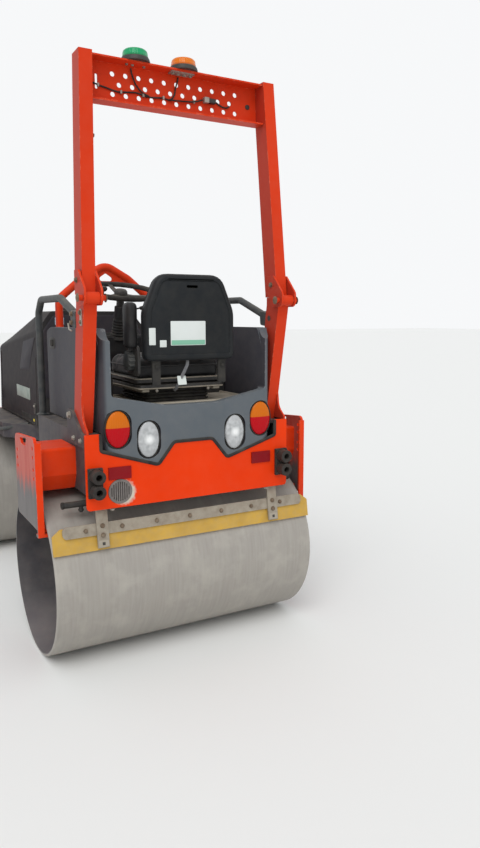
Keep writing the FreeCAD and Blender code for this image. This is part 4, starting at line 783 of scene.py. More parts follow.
class Form:
    """A mesh in the making, in metres, in the shared frame."""

    def __init__(self) -> None:
        """Start an empty mesh."""
        self.mesh = bmesh.new()
        self.number = 0

    def paint(self, number: int) -> "Form":
        """Give what is added next the piece's finish of this number."""
        self.number = number
        return self

    def skin(
        self, rings: Sequence[Sequence[Point]], place: Matrix, loop: bool = False, ease: float = 0.0
    ) -> "Form":
        """Add a closed skin over rings of points.

        Args:
            rings: The rings in order; a ring of one point is a tip.
            place: Where it goes.
            loop: True to join the last ring to the first.
            ease: How far all its edges are eased.

        Returns:
            This form.
        """
        part = bmesh.new()
        made = [[part.verts.new(point) for point in ring] for ring in rings]
        for low, high in list(zip(made, made[1:])) + ([(made[-1], made[0])] if loop else []):
            count = max(len(low), len(high))
            for i in range(count):
                j = (i + 1) % count
                corners = [low[i % len(low)], low[j % len(low)], high[j % len(high)], high[i % len(high)]]
                kept = list(dict.fromkeys(corners))
                if len(kept) > 2:
                    part.faces.new(kept)
        for ring in [] if loop else (made[0], made[-1]):
            if len(ring) > 2:
                part.faces.new(ring)
        bmesh.ops.recalc_face_normals(part, faces=part.faces)
        if ease:
            bmesh.ops.bevel(part, geom=part.edges[:], offset=ease, segments=2, affect="EDGES", profile=0.5)
        bmesh.ops.transform(part, matrix=place, verts=part.verts)
        for face in part.faces:
            face.material_index = self.number
        held = bpy.data.meshes.new("part")
        part.to_mesh(held)
        part.free()
        self.mesh.from_mesh(held)
        bpy.data.meshes.remove(held)
        return self

    def shaped(
        self, corners: Sequence[Corner], levels: Sequence[Level], place: Matrix, steps: int = 5
    ) -> "Form":
        """Add a closed shape from one outline, moved inwards from level to level.

        Args:
            corners: (x, y) or (x, y, radius), in order.
            levels: (inset, height) pairs, from the first face to the last.
            place: Where it goes.
            steps: Points in each rounded corner, less one.

        Returns:
            This form.
        """
        rings = [[(p.x, p.y, z) for p in rounded(inset(corners, inwards), steps)] for inwards, z in levels]
        return self.skin(rings, place)

    def panel(self, looks: Looks, at: float, corners: Sequence[Corner], levels: Sequence[Level]) -> "Form":
        """Add a shape on a face that looks along one of the machine's axes.

        Args:
            looks: Which way it looks.
            at: Where the face is on that axis.
            corners: Corners in the machine's own axes.
            levels: (inset, height) pairs, outwards from the face.

        Returns:
            This form.
        """
        return self.shaped(looks.seen(corners), levels, looks.place(at))

    def turned(self, profile: Sequence[Level], place: Matrix, steps: int = 32) -> "Form":
        """Add a turned shape about the place's Z.

        Args:
            profile: (radius, height) from one end to the other.
            place: Where it goes.
            steps: Sides round the axis.

        Returns:
            This form.
        """
        rings = []
        for radius, z in profile:
            rings.append([(x, y, z) for x, y in spots(steps if radius > 1e-6 else 1, radius)])
        return self.skin(rings, place)

    def swept(self, line: Sequence[Point], section: Sequence[Level], closed: bool = False) -> "Form":
        """Add a section drawn along a line.

        Args:
            line: Points that the section follows.
            section: Points of the section, across and up.
            closed: True for a loop.

        Returns:
            This form.
        """
        points = [Vector(p) for p in line]
        count = len(points)
        up = Vector(UP)
        rings = []
        for i, point in enumerate(points):
            before = points[i - 1] if closed or i else point
            after = points[(i + 1) % count] if closed or i + 1 < count else point
            along = (after - before).normalized()
            if abs(along.dot(up)) > 0.98:
                up = Vector((1, 0, 0))
            side = along.cross(up).normalized()
            up = side.cross(along).normalized()
            rings.append([tuple(point + side * a + up * b) for a, b in section])
        return self.skin(rings, Matrix.Identity(4), closed)

    def pipe(self, line: Sequence[Point], radius: float, closed: bool = False, sides: int = 14) -> "Form":
        """Add a round pipe along a line."""
        return self.swept(line, spots(sides, radius), closed)

    def bolt(self, at: Point, along: Point, size: float) -> "Form":
        """Add a hexagon-head bolt on its washer.

        Args:
            at: The washer's seat.
            along: Where the head points.
            size: Thread diameter, in metres.

        Returns:
            This form.
        """
        place = aimed(at, along)
        washer = size * 0.18
        head = washer + size * 0.65
        wide = size * 0.92
        self.turned(disc(size * 1.12, 0, washer), place, 20)
        return self.turned([(wide, washer), (wide, head * 0.9), (wide * 0.86, head), (0, head)], place, 6)

    def done(
        self, name: str, body: str, finishes: Sequence[Finish], slot: str, replaces: Sequence[str] = ()
    ) -> bpy.types.Object:
        """Close the mesh as one piece that rides on a CAD body.

        Args:
            name: The piece's plain name.
            body: The CAD body that it moves with.
            finishes: Its finishes, by number.
            slot: The record's material slot. Not used.
            replaces: CAD nodes that it stands for.

        Returns:
            The object.
        """
        made = bpy.data.meshes.new(name)
        self.mesh.to_mesh(made)
        self.mesh.free()
        for finish in finishes:
            made.materials.append(finish.material())
        made.polygons.foreach_set("use_smooth", [True] * len(made.polygons))
        made.set_sharp_from_angle(angle=math.radians(40.0))
        piece = bpy.data.objects.new(name, made)
        bpy.context.scene.collection.objects.link(piece)
        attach(piece, body)
        if replaces:
            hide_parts(*replaces)
        LOG.info("%s: %d faces on %s", name, len(made.polygons), body)
        return piece


def dress(node: str, finish: Finish, edge_mm: float = 0.0) -> None:
    """Give a CAD node its finish and ease its edges.

    Args:
        node: The CAD node's name.
        finish: Its finish.
        edge_mm: Radius of its eased edges, or 0 for none.
    """
    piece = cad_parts[node]
    piece.data.materials.clear()
    piece.data.materials.append(finish.material())
    if edge_mm:
        piece.modifiers.new("weld", "WELD").merge_threshold = 0.00003
        merge = piece.modifiers.new("faces", "DECIMATE")
        merge.decimate_type = "DISSOLVE"
        merge.angle_limit = math.radians(0.6)
        bevel = piece.modifiers.new("edges", "BEVEL")
        bevel.width = edge_mm / 1000
        bevel.segments = 2
        bevel.limit_method = "ANGLE"
        bevel.angle_limit = math.radians(32)
        bevel.use_clamp_overlap = True
        piece.modifiers.new("normals", "WEIGHTED_NORMAL").keep_sharp = False
    LOG.info("%s: dressed in %s", node, finish.name)


def dress_each(*rows: tuple) -> None:
    """Dress several CAD nodes, each given as its name, finish and edge."""
    for row in rows:
        dress(*row)


@dataclass(frozen=True)
class Padding:
    """Foam under a sewn cover, blown up by a cloth simulation and held down along its seams."""

    fill: float = 0.7
    voxel_mm: float = 6.0
    travel_mm: float = 16.0
    pressure: float = 4.0
    seams: tuple[tuple[Point, Point], ...] = ()
    seam_mm: float = 26.0
    last_frame: int = 20

    def stuff(self, piece: bpy.types.Object) -> None:
        grid = piece.modifiers.new("grid", "REMESH")
        grid.mode = "VOXEL"
        grid.voxel_size = self.voxel_mm / 1000
        self.settle(piece)
        self.swell(piece)
        piece.data.materials.clear()
        piece.data.materials.append(Shop.vinyl.material())
        piece.data.polygons.foreach_set("use_smooth", [True] * len(piece.data.polygons))
        fine = piece.modifiers.new("fine", "SUBSURF")
        fine.levels = fine.render_levels = 1

    @staticmethod
    def settle(piece: bpy.types.Object) -> None:
        """Replace the mesh by what its modifiers make of it."""
        graph = bpy.context.evaluated_depsgraph_get()
        made = bpy.data.meshes.new_from_object(piece.evaluated_get(graph))
        piece.modifiers.clear()
        piece.data = made

    def swell(self, piece: bpy.types.Object) -> None:
        """Run the cloth, and move each point by no more than the foam lets it.

        Args:
            piece: The remeshed cover.
        """
        cloth = piece.modifiers.new("cover", "CLOTH")
        cloth.settings.use_pressure = True
        cloth.settings.uniform_pressure_force = self.pressure
        cloth.settings.effector_weights.gravity = 0.0
        scene = bpy.context.scene
        for number in range(1, self.last_frame + 1):
            scene.frame_set(number)
        graph = bpy.context.evaluated_depsgraph_get()
        swollen = [v.co.copy() for v in piece.evaluated_get(graph).data.vertices]
        piece.modifiers.clear()
        scene.frame_set(1)
        for vertex, there in zip(piece.data.vertices, swollen):
            step = there - vertex.co
            most = self.travel_mm / 1000 * self.freedom(vertex.co)
            if step.length > most:
                step *= most / step.length
            vertex.co = vertex.co + step
        piece.data.update()

    def freedom(self, at: Vector) -> float:
        """How freely the cover swells at a point.

        Args:
            at: The point.

        Returns:
            0 on a seam, 1 away from it.
        """
        free = 1.0
        for start, end in self.seams:
            a, run = Vector(start), Vector(end) - Vector(start)
            share = min(max((at - a).dot(run) / run.length_squared, 0.0), 1.0)
            free = min(free, (at - a - run * share).length * 1000 / self.seam_mm)
        return free * free * (3 - 2 * free)


# The studio


@dataclass
class Studio:
    """Floor, soft light, and the camera at the photograph's viewpoint."""

    eye: Point = (-3.8114, 1.2614, 1.441)
    yaw: float = -0.5166
    pitch_down: float = 0.15
    roll: float = -0.0014
    lens_mm: float = 29.785
    sensor_mm: float = 36.0
    floor_half: float = 70.0
    sky_strength: float = 0.78
    sky_colour: Corner = (0.96, 0.98, 1.0, 1.0)
    backdrop_colour: Corner = (0.93, 0.94, 0.95, 1.0)
    sun_strength: float = 1.25
    sun_spread: float = 0.7
    sun_from: Point = (-0.52, 0.36, 0.78)

    def build(self) -> None:
        """Set up the floor, the world, the lamp and the camera."""
        self.camera()
        self.world()
        self.lamp()
        self.floor()

    @staticmethod
    def placed(name: str, data: bpy.types.ID, matrix: Matrix) -> bpy.types.Object:
        """Put a studio object in the scene."""
        made = bpy.data.objects.new(name, data)
        made.matrix_world = matrix
        bpy.context.scene.collection.objects.link(made)
        return made

    def camera(self) -> None:
        """Place the camera by its eye point and angles."""
        data = bpy.data.cameras.new("camera")
        data.lens = self.lens_mm
        data.sensor_width = self.sensor_mm
        level = math.cos(self.pitch_down)
        ahead = (level * math.cos(self.yaw), level * math.sin(self.yaw), -math.sin(self.pitch_down))
        forward = Vector(ahead)
        right = forward.cross(Vector(UP)).normalized()
        turn = Matrix((right, right.cross(forward), -forward)).transposed().to_4x4()
        place = Matrix.Translation(Vector(self.eye)) @ turn @ Matrix.Rotation(self.roll, 4, "Z")
        bpy.context.scene.camera = self.placed("camera", data, place)
        bpy.context.scene.view_settings.view_transform = "Standard"

    def world(self) -> None:
        """An even overcast sky, and plain white where the camera, gloss or glass looks at it."""
        world = bpy.data.worlds.new("studio_world")
        bpy.context.scene.world = world
        world.use_nodes = True
        tree = world.node_tree
        tree.nodes.clear()
        soft = {"Color": self.sky_colour, "Strength": self.sky_strength}
        plain = {"Color": self.backdrop_colour, "Strength": 1.0}
        skies = [add_node(tree, "ShaderNodeBackground", values=sky).outputs[0] for sky in (soft, plain)]
        path = add_node(tree, "ShaderNodeLightPath").outputs
        seen = path["Is Camera Ray"]
        for kind in ("Is Glossy Ray", "Is Transmission Ray"):
            links = {0: seen, 1: path[kind]}
            seen = add_node(tree, "ShaderNodeMath", {"operation": "MAXIMUM"}, None, links).outputs[0]
        mixed = add_node(tree, "ShaderNodeMixShader", links={0: seen, 1: skies[0], 2: skies[1]})
        add_node(tree, "ShaderNodeOutputWorld", links={"Surface": mixed.outputs[0]})

    def lamp(self) -> None:
        """One wide soft lamp, high on the left behind the camera."""
        lamp = bpy.data.lights.new("key", "SUN")
        lamp.energy = self.sun_strength
        lamp.angle = self.sun_spread
        self.placed("key", lamp, aimed((-4.0, 3.0, 6.0), self.sun_from))

    def floor(self) -> None:
        """A plain pale floor under the drums, out to the horizon."""
        half = self.floor_half
        corners = [(-half, -half, 0), (half, -half, 0), (half, half, 0), (-half, half, 0)]
        made = bpy.data.meshes.new("floor")
        made.from_pydata(corners, [], [(0, 1, 2, 3)])
        made.materials.append(Shop.studio.material())
        self.placed("floor", made, Matrix.Identity(4))


# Sub-assemblies


class End(Enum):
    """Which half of the machine a drum and its fittings belong to."""

    REAR = "rear"
    FRONT = "front"

    @property
    def axle(self) -> float:
        """Where this end's axle is along the machine."""
        return REAR_AXLE if self is End.REAR else FRONT_AXLE

    @property
    def outwards(self) -> float:
        """Sign of X that points away from the machine's middle."""
        return -1.0 if self is End.REAR else 1.0

    def behind(self, back: float) -> float:
        """X of a place this far outwards from the axle."""
        return self.axle + self.outwards * back


@dataclass
class DrumSet:
    """One drum, its yoke plates, scraper, sprinkler and lashing eyes."""

    end: End
    hub_bolts: int = 8
    hub_bolt_circle: float = 0.072
    disc_face: float = 0.350
    mount_circle: float = 0.205
    mounts: int = 6
    bar_bolt_pitch: float = 0.152
    bar_lean: float = math.radians(9.3)
    strap_y: float = 0.400
    nozzle_pitch: float = 0.230
    spray_back: float = 0.250
    spray_height: float = 0.700

    def build(self) -> None:
        """Dress the CAD nodes and add what is fastened to them."""
        end = self.end.value
        dress_each(
            (f"drum_{end}", Shop.drum_rear if self.end is End.REAR else Shop.drum_front, 1.5),
            (f"{end}_yoke_left", Shop.yoke, 2.0),
            (f"{end}_yoke_right", Shop.yoke, 2.0),
            (f"scraper_bar_{end}", Shop.bar, 1.2),
            (f"scraper_blade_{end}", Shop.scraper, 1.5),
            (f"spray_bar_{end}", Shop.black),
            (f"lashing_brackets_{end}", Shop.casting, 3.0),
        )
        self.hub_fittings()
        self.scraper_bolts()
        self.strap_tabs()
        self.spray_nozzles()
        self.lashing_bolts()

    def close(self, form: Form, name: str, finishes: Sequence[Finish], slot: str, part: str = "body") -> None:
        """Close a form as this end's piece of that name."""
        form.done(f"{name}_{self.end.value}", f"{self.end.value}_{part}", finishes, slot)

    def hub_fittings(self) -> None:
        """Bolts round each drum hub, and the rubber mounts on the disc."""
        bolts, mounts = Form(), Form()
        waist = [(0.034, 0), (0.034, 0.004), (0.030, 0.006), (0.027, 0.016), (0.030, 0.026), (0.033, 0.030)]
        for side in (1, -1):
            out = (0, side, 0)
            for x, z in spots(self.hub_bolts, self.hub_bolt_circle):
                at = (self.end.axle + x, side * (self.disc_face + 0.015), AXLE_HEIGHT + z)
                bolts.bolt(at, out, 0.012)
            for x, z in spots(self.mounts, self.mount_circle, math.pi / self.mounts):
                at = (self.end.axle + x, side * self.disc_face, AXLE_HEIGHT + z)
                mounts.paint(0).turned(waist + [(0.0, 0.030)], aimed(at, out), 28)
                mounts.paint(1).turned(disc(0.036, 0.030, 0.034), aimed(at, out), 28)
                bolts.bolt((at[0], side * (self.disc_face + 0.034), at[2]), out, 0.012)
        self.close(bolts, "hub_bolts", [Shop.rusty], "steel", "roller")
        self.close(mounts, "drum_mounts", [Shop.rubber, Shop.bar], "black_plastic", "roller")

    def on_scraper(self, y: float, along: float, proud: float) -> Point:
        """Point on the leaning scraper: along it downwards, out from its inner face."""
        down, out = math.cos(self.bar_lean), math.sin(self.bar_lean)
        x = self.end.behind(0.310) + self.end.outwards * (out * along + down * proud)
        return x, y, 0.623 - down * along + out * proud

    @property
    def scraper_out(self) -> Point:
        """Direction out of the scraper bar's face."""
        return self.end.outwards * math.cos(self.bar_lean), 0.0, math.sin(self.bar_lean)

    def scraper_bolts(self) -> None:
        """Bolts along the clamp bar and on its straps."""
        form = Form()
        for i in range(-3, 4):
            at = self.on_scraper(i * self.bar_bolt_pitch + 0.0115, 0.019, 0.016)
            form.bolt(at, self.scraper_out, 0.0085)
        for side in (1, -1):
            for along in (0.006, 0.044):
                form.bolt(self.on_scraper(side * self.strap_y, along, 0.024), self.scraper_out, 0.009)
        self.close(form, "scraper_bolts", [Shop.rusty], "steel")

    def strap_tabs(self) -> None:
        """The straps' light lower tabs, a black square on each as painted shade for its square hole, and
        bolts under the bumper's edge.
        """
        form = Form()
        for side in (1, -1):
            place = aimed(self.on_scraper(side * self.strap_y, 0.078, 0.0235), self.scraper_out, (0, 1, 0))
            form.paint(0).shaped(centred(0.021, 0.014, 0.004), crowned(0.002, 0.0008), place)
            # The square hole is a black square laid proud of the tab: painted shade.
            form.paint(1).shaped(centred(0.006, 0.006, 0.001), [(0.0, 0.0018), (0.0, 0.0026)], place)
            form.paint(2).bolt((self.end.behind(0.344), side * 0.360, 0.6895), (0, 0, -1), 0.010)
        self.close(form, "strap_tabs", [Shop.tray, Shop.black, Shop.zinc], "steel")

    def spray_nozzles(self) -> None:
        """Flat-jet nozzles under the sprinkler tube, and its end caps."""
        form = Form()
        x = self.end.behind(self.spray_back)
        nozzle = [
            (0.008, 0.0), (0.008, 0.010), (0.0115, 0.011), (0.0115, 0.017), (0.009, 0.019), (0.006, 0.024),
            (0.0, 0.024),
        ]
        for i in range(-2, 3):
            place = aimed((x, i * self.nozzle_pitch, self.spray_height - 0.011), (0, 0, -1))
            form.turned(nozzle, place, 16)
        cap = [(0.0145, 0), (0.0145, 0.008), (0.012, 0.0095), (0.0, 0.0095)]
        for side in (1, -1):
            form.paint(1).turned(cap, aimed((x, side * 0.530, self.spray_height), (0, side, 0)), 20)
        self.close(form, "spray_nozzles", [Shop.black, Shop.rubber], "black_plastic")

    def lashing_bolts(self) -> None:
        """Bolts at the corners of the lashing plates."""
        form = Form()
        for side in (1, -1):
            for z in (0.752, 0.852):
                for y in (0.409, 0.451):
                    form.bolt((self.end.behind(0.364), side * y, z), (self.end.outwards, 0, 0), 0.008)
        self.close(form, "lashing_bolts", [Shop.casting], "black_metal")


@dataclass
class RearPanel:
    """Bumper, moulded cover, lamps, reflectors, sounder and rubber trim."""

    face: float = REAR_AXLE - 0.350
    trim_radius: float = 0.0075
    trim_end: float = 0.4015
    lens_half_height: float = 0.072
    tail_at: Level = (0.328, 1.005)
    white_at: Level = (0.199, 0.955)

    def build(self) -> None:
        """Dress the nodes and add the trim and lamps."""
        dress_each(
            ("rear_bumper", Shop.bumper, 1.5), ("rear_cover", Shop.cover, 6.0),
            ("rear_reflectors", Shop.reflector, 1.5), ("reverse_alarm", Shop.sounder, 0.6),
            # The rear frame takes the dark chassis enamel: its side plates are orange under dust, so on them
            # this dark violet grey is painted shade over the dust.
            ("rear_frame", Shop.chassis, 2.0),
        )
        self.rubber_trim()
        self.lamp_pair("tail", "tail_lens", self.tail_at, 0.049, Shop.tail)
        self.lamp_pair("white", "clear_lens", self.white_at, 0.045, Shop.clear)
        self.cover_fittings()
        self.rail_bolts()

    def rubber_trim(self) -> None:
        """Rubber strip in the gap between the bumper and the cover."""
        end = self.trim_end
        right = [(0.089, 0.9365, 0.028), (0.160, 0.8475, 0.022), (end, 0.9245, 0.012), (end, 0.992)]
        run = [(-c[0],) + c[1:] for c in reversed(right)] + right
        points = rounded([(-end, 1.2)] + run + [(end, 1.2)], 7)[1:-1]
        form = Form().pipe([(self.face + 0.0015, p.x, p.y) for p in points], self.trim_radius, sides=10)
        form.done("rubber_trim", "rear_body", [Shop.rubber], "black_plastic")

    def lamp_pair(self, name: str, slot: str, at: Level, wide: float, finish: Finish) -> None:
        """Domed oval lenses, each with its rubber ring and a dark gap round it.

        Args:
            name: The CAD lamp's name without _lamps.
            slot: The record's slot of its lens.
            at: Y and Z of the left lens's centre.
            wide: Half width of a lens.
            finish: The lens's finish.
        """
        form = Form()
        # share of the outline, height out of the recess
        gap = [(1.135, 0.0), (1.135, 0.0115), (1.10, 0.0135), (1.055, 0.0125), (1.045, 0.006)]
        dome = [
            (1.02, 0.004), (1.015, 0.012), (0.985, 0.0145), (0.86, 0.0178), (0.6, 0.0202), (0.3, 0.0214),
            (0.0, 0.0218),
        ]
        oval = Matrix.Diagonal((wide, self.lens_half_height, 1.0, 1.0))
        for side in (1, -1):
            place = aimed((self.face + 0.0175, side * at[0], at[1]), (-1, 0, 0), (0, 1, 0)) @ oval
            form.paint(1).turned(gap, place, 56)
            form.paint(0).turned(dome, place, 56)
        form.done(f"{name}_lamp_lenses", "rear_body", [finish, Shop.rubber], slot, [f"{name}_lamps"])

    def cover_fittings(self) -> None:
        """Latch pads in shallow seats on the cover's wings."""
        form = Form()
        for _, looks in SIDES:
            seat = block((-0.545, 1.300), (-0.445, 1.352), 0.022)
            pad = block((-0.520, 1.312), (-0.475, 1.342), 0.012)
            form.paint(0).panel(looks, 0.3895, seat, crowned(0.0025, 0.002))
            form.paint(1).panel(looks, 0.3895, pad, crowned(0.008, 0.003))
        form.done("cover_latches", "rear_body", [Shop.black, Shop.rubber], "black_plastic")

    def rail_bolts(self) -> None:
        """Bolts of the posts' ears and of the bumper."""
        form = Form()
        for side in (1, -1):
            for x, z, size in ((-1.01225, 1.053, 0.014), (-1.150, 0.965, 0.010), (-1.060, 0.965, 0.010)):
                form.bolt((x, side * 0.4671, z), (0, side, 0), size)
        form.done("rail_bolts", "rear_body", [Shop.zinc], "steel")


@dataclass
class RollFrame:
    """Roll-over posts, cross-beam, beacons, wiring and hinge hardware."""

    hinge_x: float = REAR_AXLE - 0.385
    hinge_height: float = 1.516
    hinge_y: float = 0.431
    pin_half: float = 0.053
    web_face: float = -1.07525
    beam_under: float = 2.4070
    cable_radius: float = 0.0032

    def build(self) -> None:
        """Dress the frame and add its small parts."""
        dress_each(
            ("rops_low_posts", Shop.frame_orange, 3.0), ("rops_high_posts", Shop.frame_orange, 3.0),
            ("rops_beam", Shop.frame_orange, 1.0),
        )
        self.beacons()
        self.hinge_hardware()
        self.wiring()
        self.beam_hardware()

    def beacons(self) -> None:
        """Low domed beacons with fluted lenses on black bases."""
        for colour, y, lens in (("green", 0.185, Shop.green), ("amber", -0.020, Shop.amber)):
            name = f"beacon_{colour}"
            low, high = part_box(name)
            place = aimed(((low.x + high.x) / 2, y, low.z))
            tall = high.z - low.z
            base = [
                (0.0, 0.0), (0.0575, 0.0), (0.0575, 0.007), (0.0555, 0.010), (0.0555, 0.013), (0.053, 0.017),
                (0.051, 0.0185), (0.0, 0.0185),
            ]
            dome = [
                (0.0495, 0.0175), (0.051, 0.0185), (0.051, 0.021), (0.0500, 0.022), (0.0485, tall - 0.012),
                (0.0465, tall - 0.0065), (0.042, tall - 0.0025), (0.030, tall - 0.0006), (0.0, tall),
            ]
            form = Form().paint(1).turned(base, place, 48).paint(0).turned(dome, place, 48)
            form.done(f"{name}_lamp", "rops_top", [lens, Shop.black], f"{colour}_lens", [name])

    def hinge_hardware(self) -> None:
        """Caps and washers on the hinge pins, the posts' locking bolts and a latch with its clip."""
        caps, upper, lower = Form(), Form(), Form()
        cap = [
            (0.0165, 0.0), (0.0165, 0.002), (0.0130, 0.0035), (0.0115, 0.005), (0.0050, 0.0058),
            (0.0, 0.0052),
        ]
        for side in (1, -1):
            for out in (1, -1):
                at = (self.hinge_x, side * self.hinge_y + out * self.pin_half, self.hinge_height)
                caps.turned(cap, aimed(at, (0, out, 0)), 24)
                upper.bolt((-1.172, side * self.hinge_y + out * 0.0365, 1.583), (0, out, 0), 0.010)
        caps.done("hinge_caps", "rear_body", [Shop.rusty], "steel")
        upper.done("ear_bolts", "rops_top", [Shop.rusty], "steel")
        for side, looks in SIDES:
            strip = block((-1.190, 1.412), (-1.168, 1.476), 0.006)
            lower.paint(0).panel(looks, 0.457, strip, crowned(0.0035, 0.001))
            for z, size in ((1.462, 0.009), (1.426, 0.007)):
                lower.paint(1).bolt((-1.179, side * 0.4605, z), (0, side, 0), size)
            inner = aimed((-1.140, side * 0.4045, 1.440), (0, -side, 0))
            lower.paint(2).turned(disc(0.012, 0.0, 0.0008), inner, 20)
        lower.done("post_latches", "rear_body", [Shop.zinc, Shop.rusty, Shop.black], "steel")

    def wiring(self) -> None:
        """Beacon cables clipped to the beam's web, in the waves that the clips leave."""
        x = self.web_face - self.cable_radius - 0.0008
        main_run = [
            (0.372, 2.338), (0.353, 2.327), (0.326, 2.319), (0.300, 2.315), (0.272, 2.309), (0.249, 2.306),
            (0.222, 2.309), (0.200, 2.312), (0.176, 2.314), (0.158, 2.311), (0.138, 2.306), (0.112, 2.305),
            (0.086, 2.308), (0.060, 2.311), (0.036, 2.306),
        ]
        branch = [
            (0.197, 2.400), (0.195, 2.384), (0.188, 2.364), (0.178, 2.342), (0.163, 2.325), (0.146, 2.314),
            (0.122, 2.307),
        ]
        amber = [
            (-0.006, 2.398), (-0.002, 2.380), (0.006, 2.356), (0.010, 2.332), (0.020, 2.315),
            (0.036, 2.306),
        ]
        far = [(-0.112, 2.327), (-0.090, 2.318), (-0.060, 2.312), (-0.020, 2.309), (0.036, 2.306)]
        tail = [(-0.178, 2.327), (-0.192, 2.319), (-0.208, 2.313), (-0.226, 2.312), (-0.240, 2.320)]
        form = Form()
        for number, run in enumerate((main_run, branch, amber, far, tail)):
            # every other cable lies over its neighbour
            lift = 0.004 if number % 2 else 0.0
            form.pipe([(x - lift, y, z) for y, z in run], self.cable_radius, sides=8)
        # paint, corner, corner, corner radius, height, rounded edge
        clips = [
            (1, (y - 0.004, z - 0.007), (y + 0.004, z + 0.007), 0.002, 0.0095, 0.002)
            for y, z in ((0.330, 2.320), (0.238, 2.307), (0.146, 2.308), (0.060, 2.311), (-0.075, 2.315))
        ]
        clips.append((2, (-0.172, 2.318), (-0.120, 2.337), 0.004, 0.018, 0.004))
        clips.append((1, (-0.140, 2.316), (-0.118, 2.339), 0.003, 0.020, 0.003))
        for paint, low, high, radius, height, ease in clips:
            clip = block(low, high, radius)
            form.paint(paint).panel(Looks.REAR, self.web_face, clip, crowned(height, ease))
        form.done("beam_wiring", "rops_top", [Shop.rubber, Shop.zinc, Shop.black], "black_plastic")

    def beam_hardware(self) -> None:
        """Beacon studs and their plate under the beam's top flange, grommets and a cable clip on a post."""
        form = Form()
        plate = block((-1.124, -0.060), (-1.084, 0.042), 0.006)
        form.shaped(plate, [(0.0, -0.004), (0.0, 0.0)], level_at(self.beam_under))
        for y in (0.150, 0.197, 0.220):
            form.bolt((-1.101, y, self.beam_under), (0, 0, -1), 0.006)
        for y in (-0.048, -0.022, 0.004, 0.028):
            form.bolt((-1.104, y, self.beam_under - 0.004), (0, 0, -1), 0.007)
        grommet = aimed((self.web_face, -0.330, 2.330), (-1, 0, 0))
        form.paint(1).turned([(0.010, 0), (0.010, 0.003), (0.0, 0.004)], grommet, 18)
        form.turned(disc(0.007, 0, 0.006), aimed((-1.150, 0.3813, 2.116), (0, -1, 0)), 14)
        form.done("beam_fasteners", "rops_top", [Shop.zinc, Shop.black], "steel")


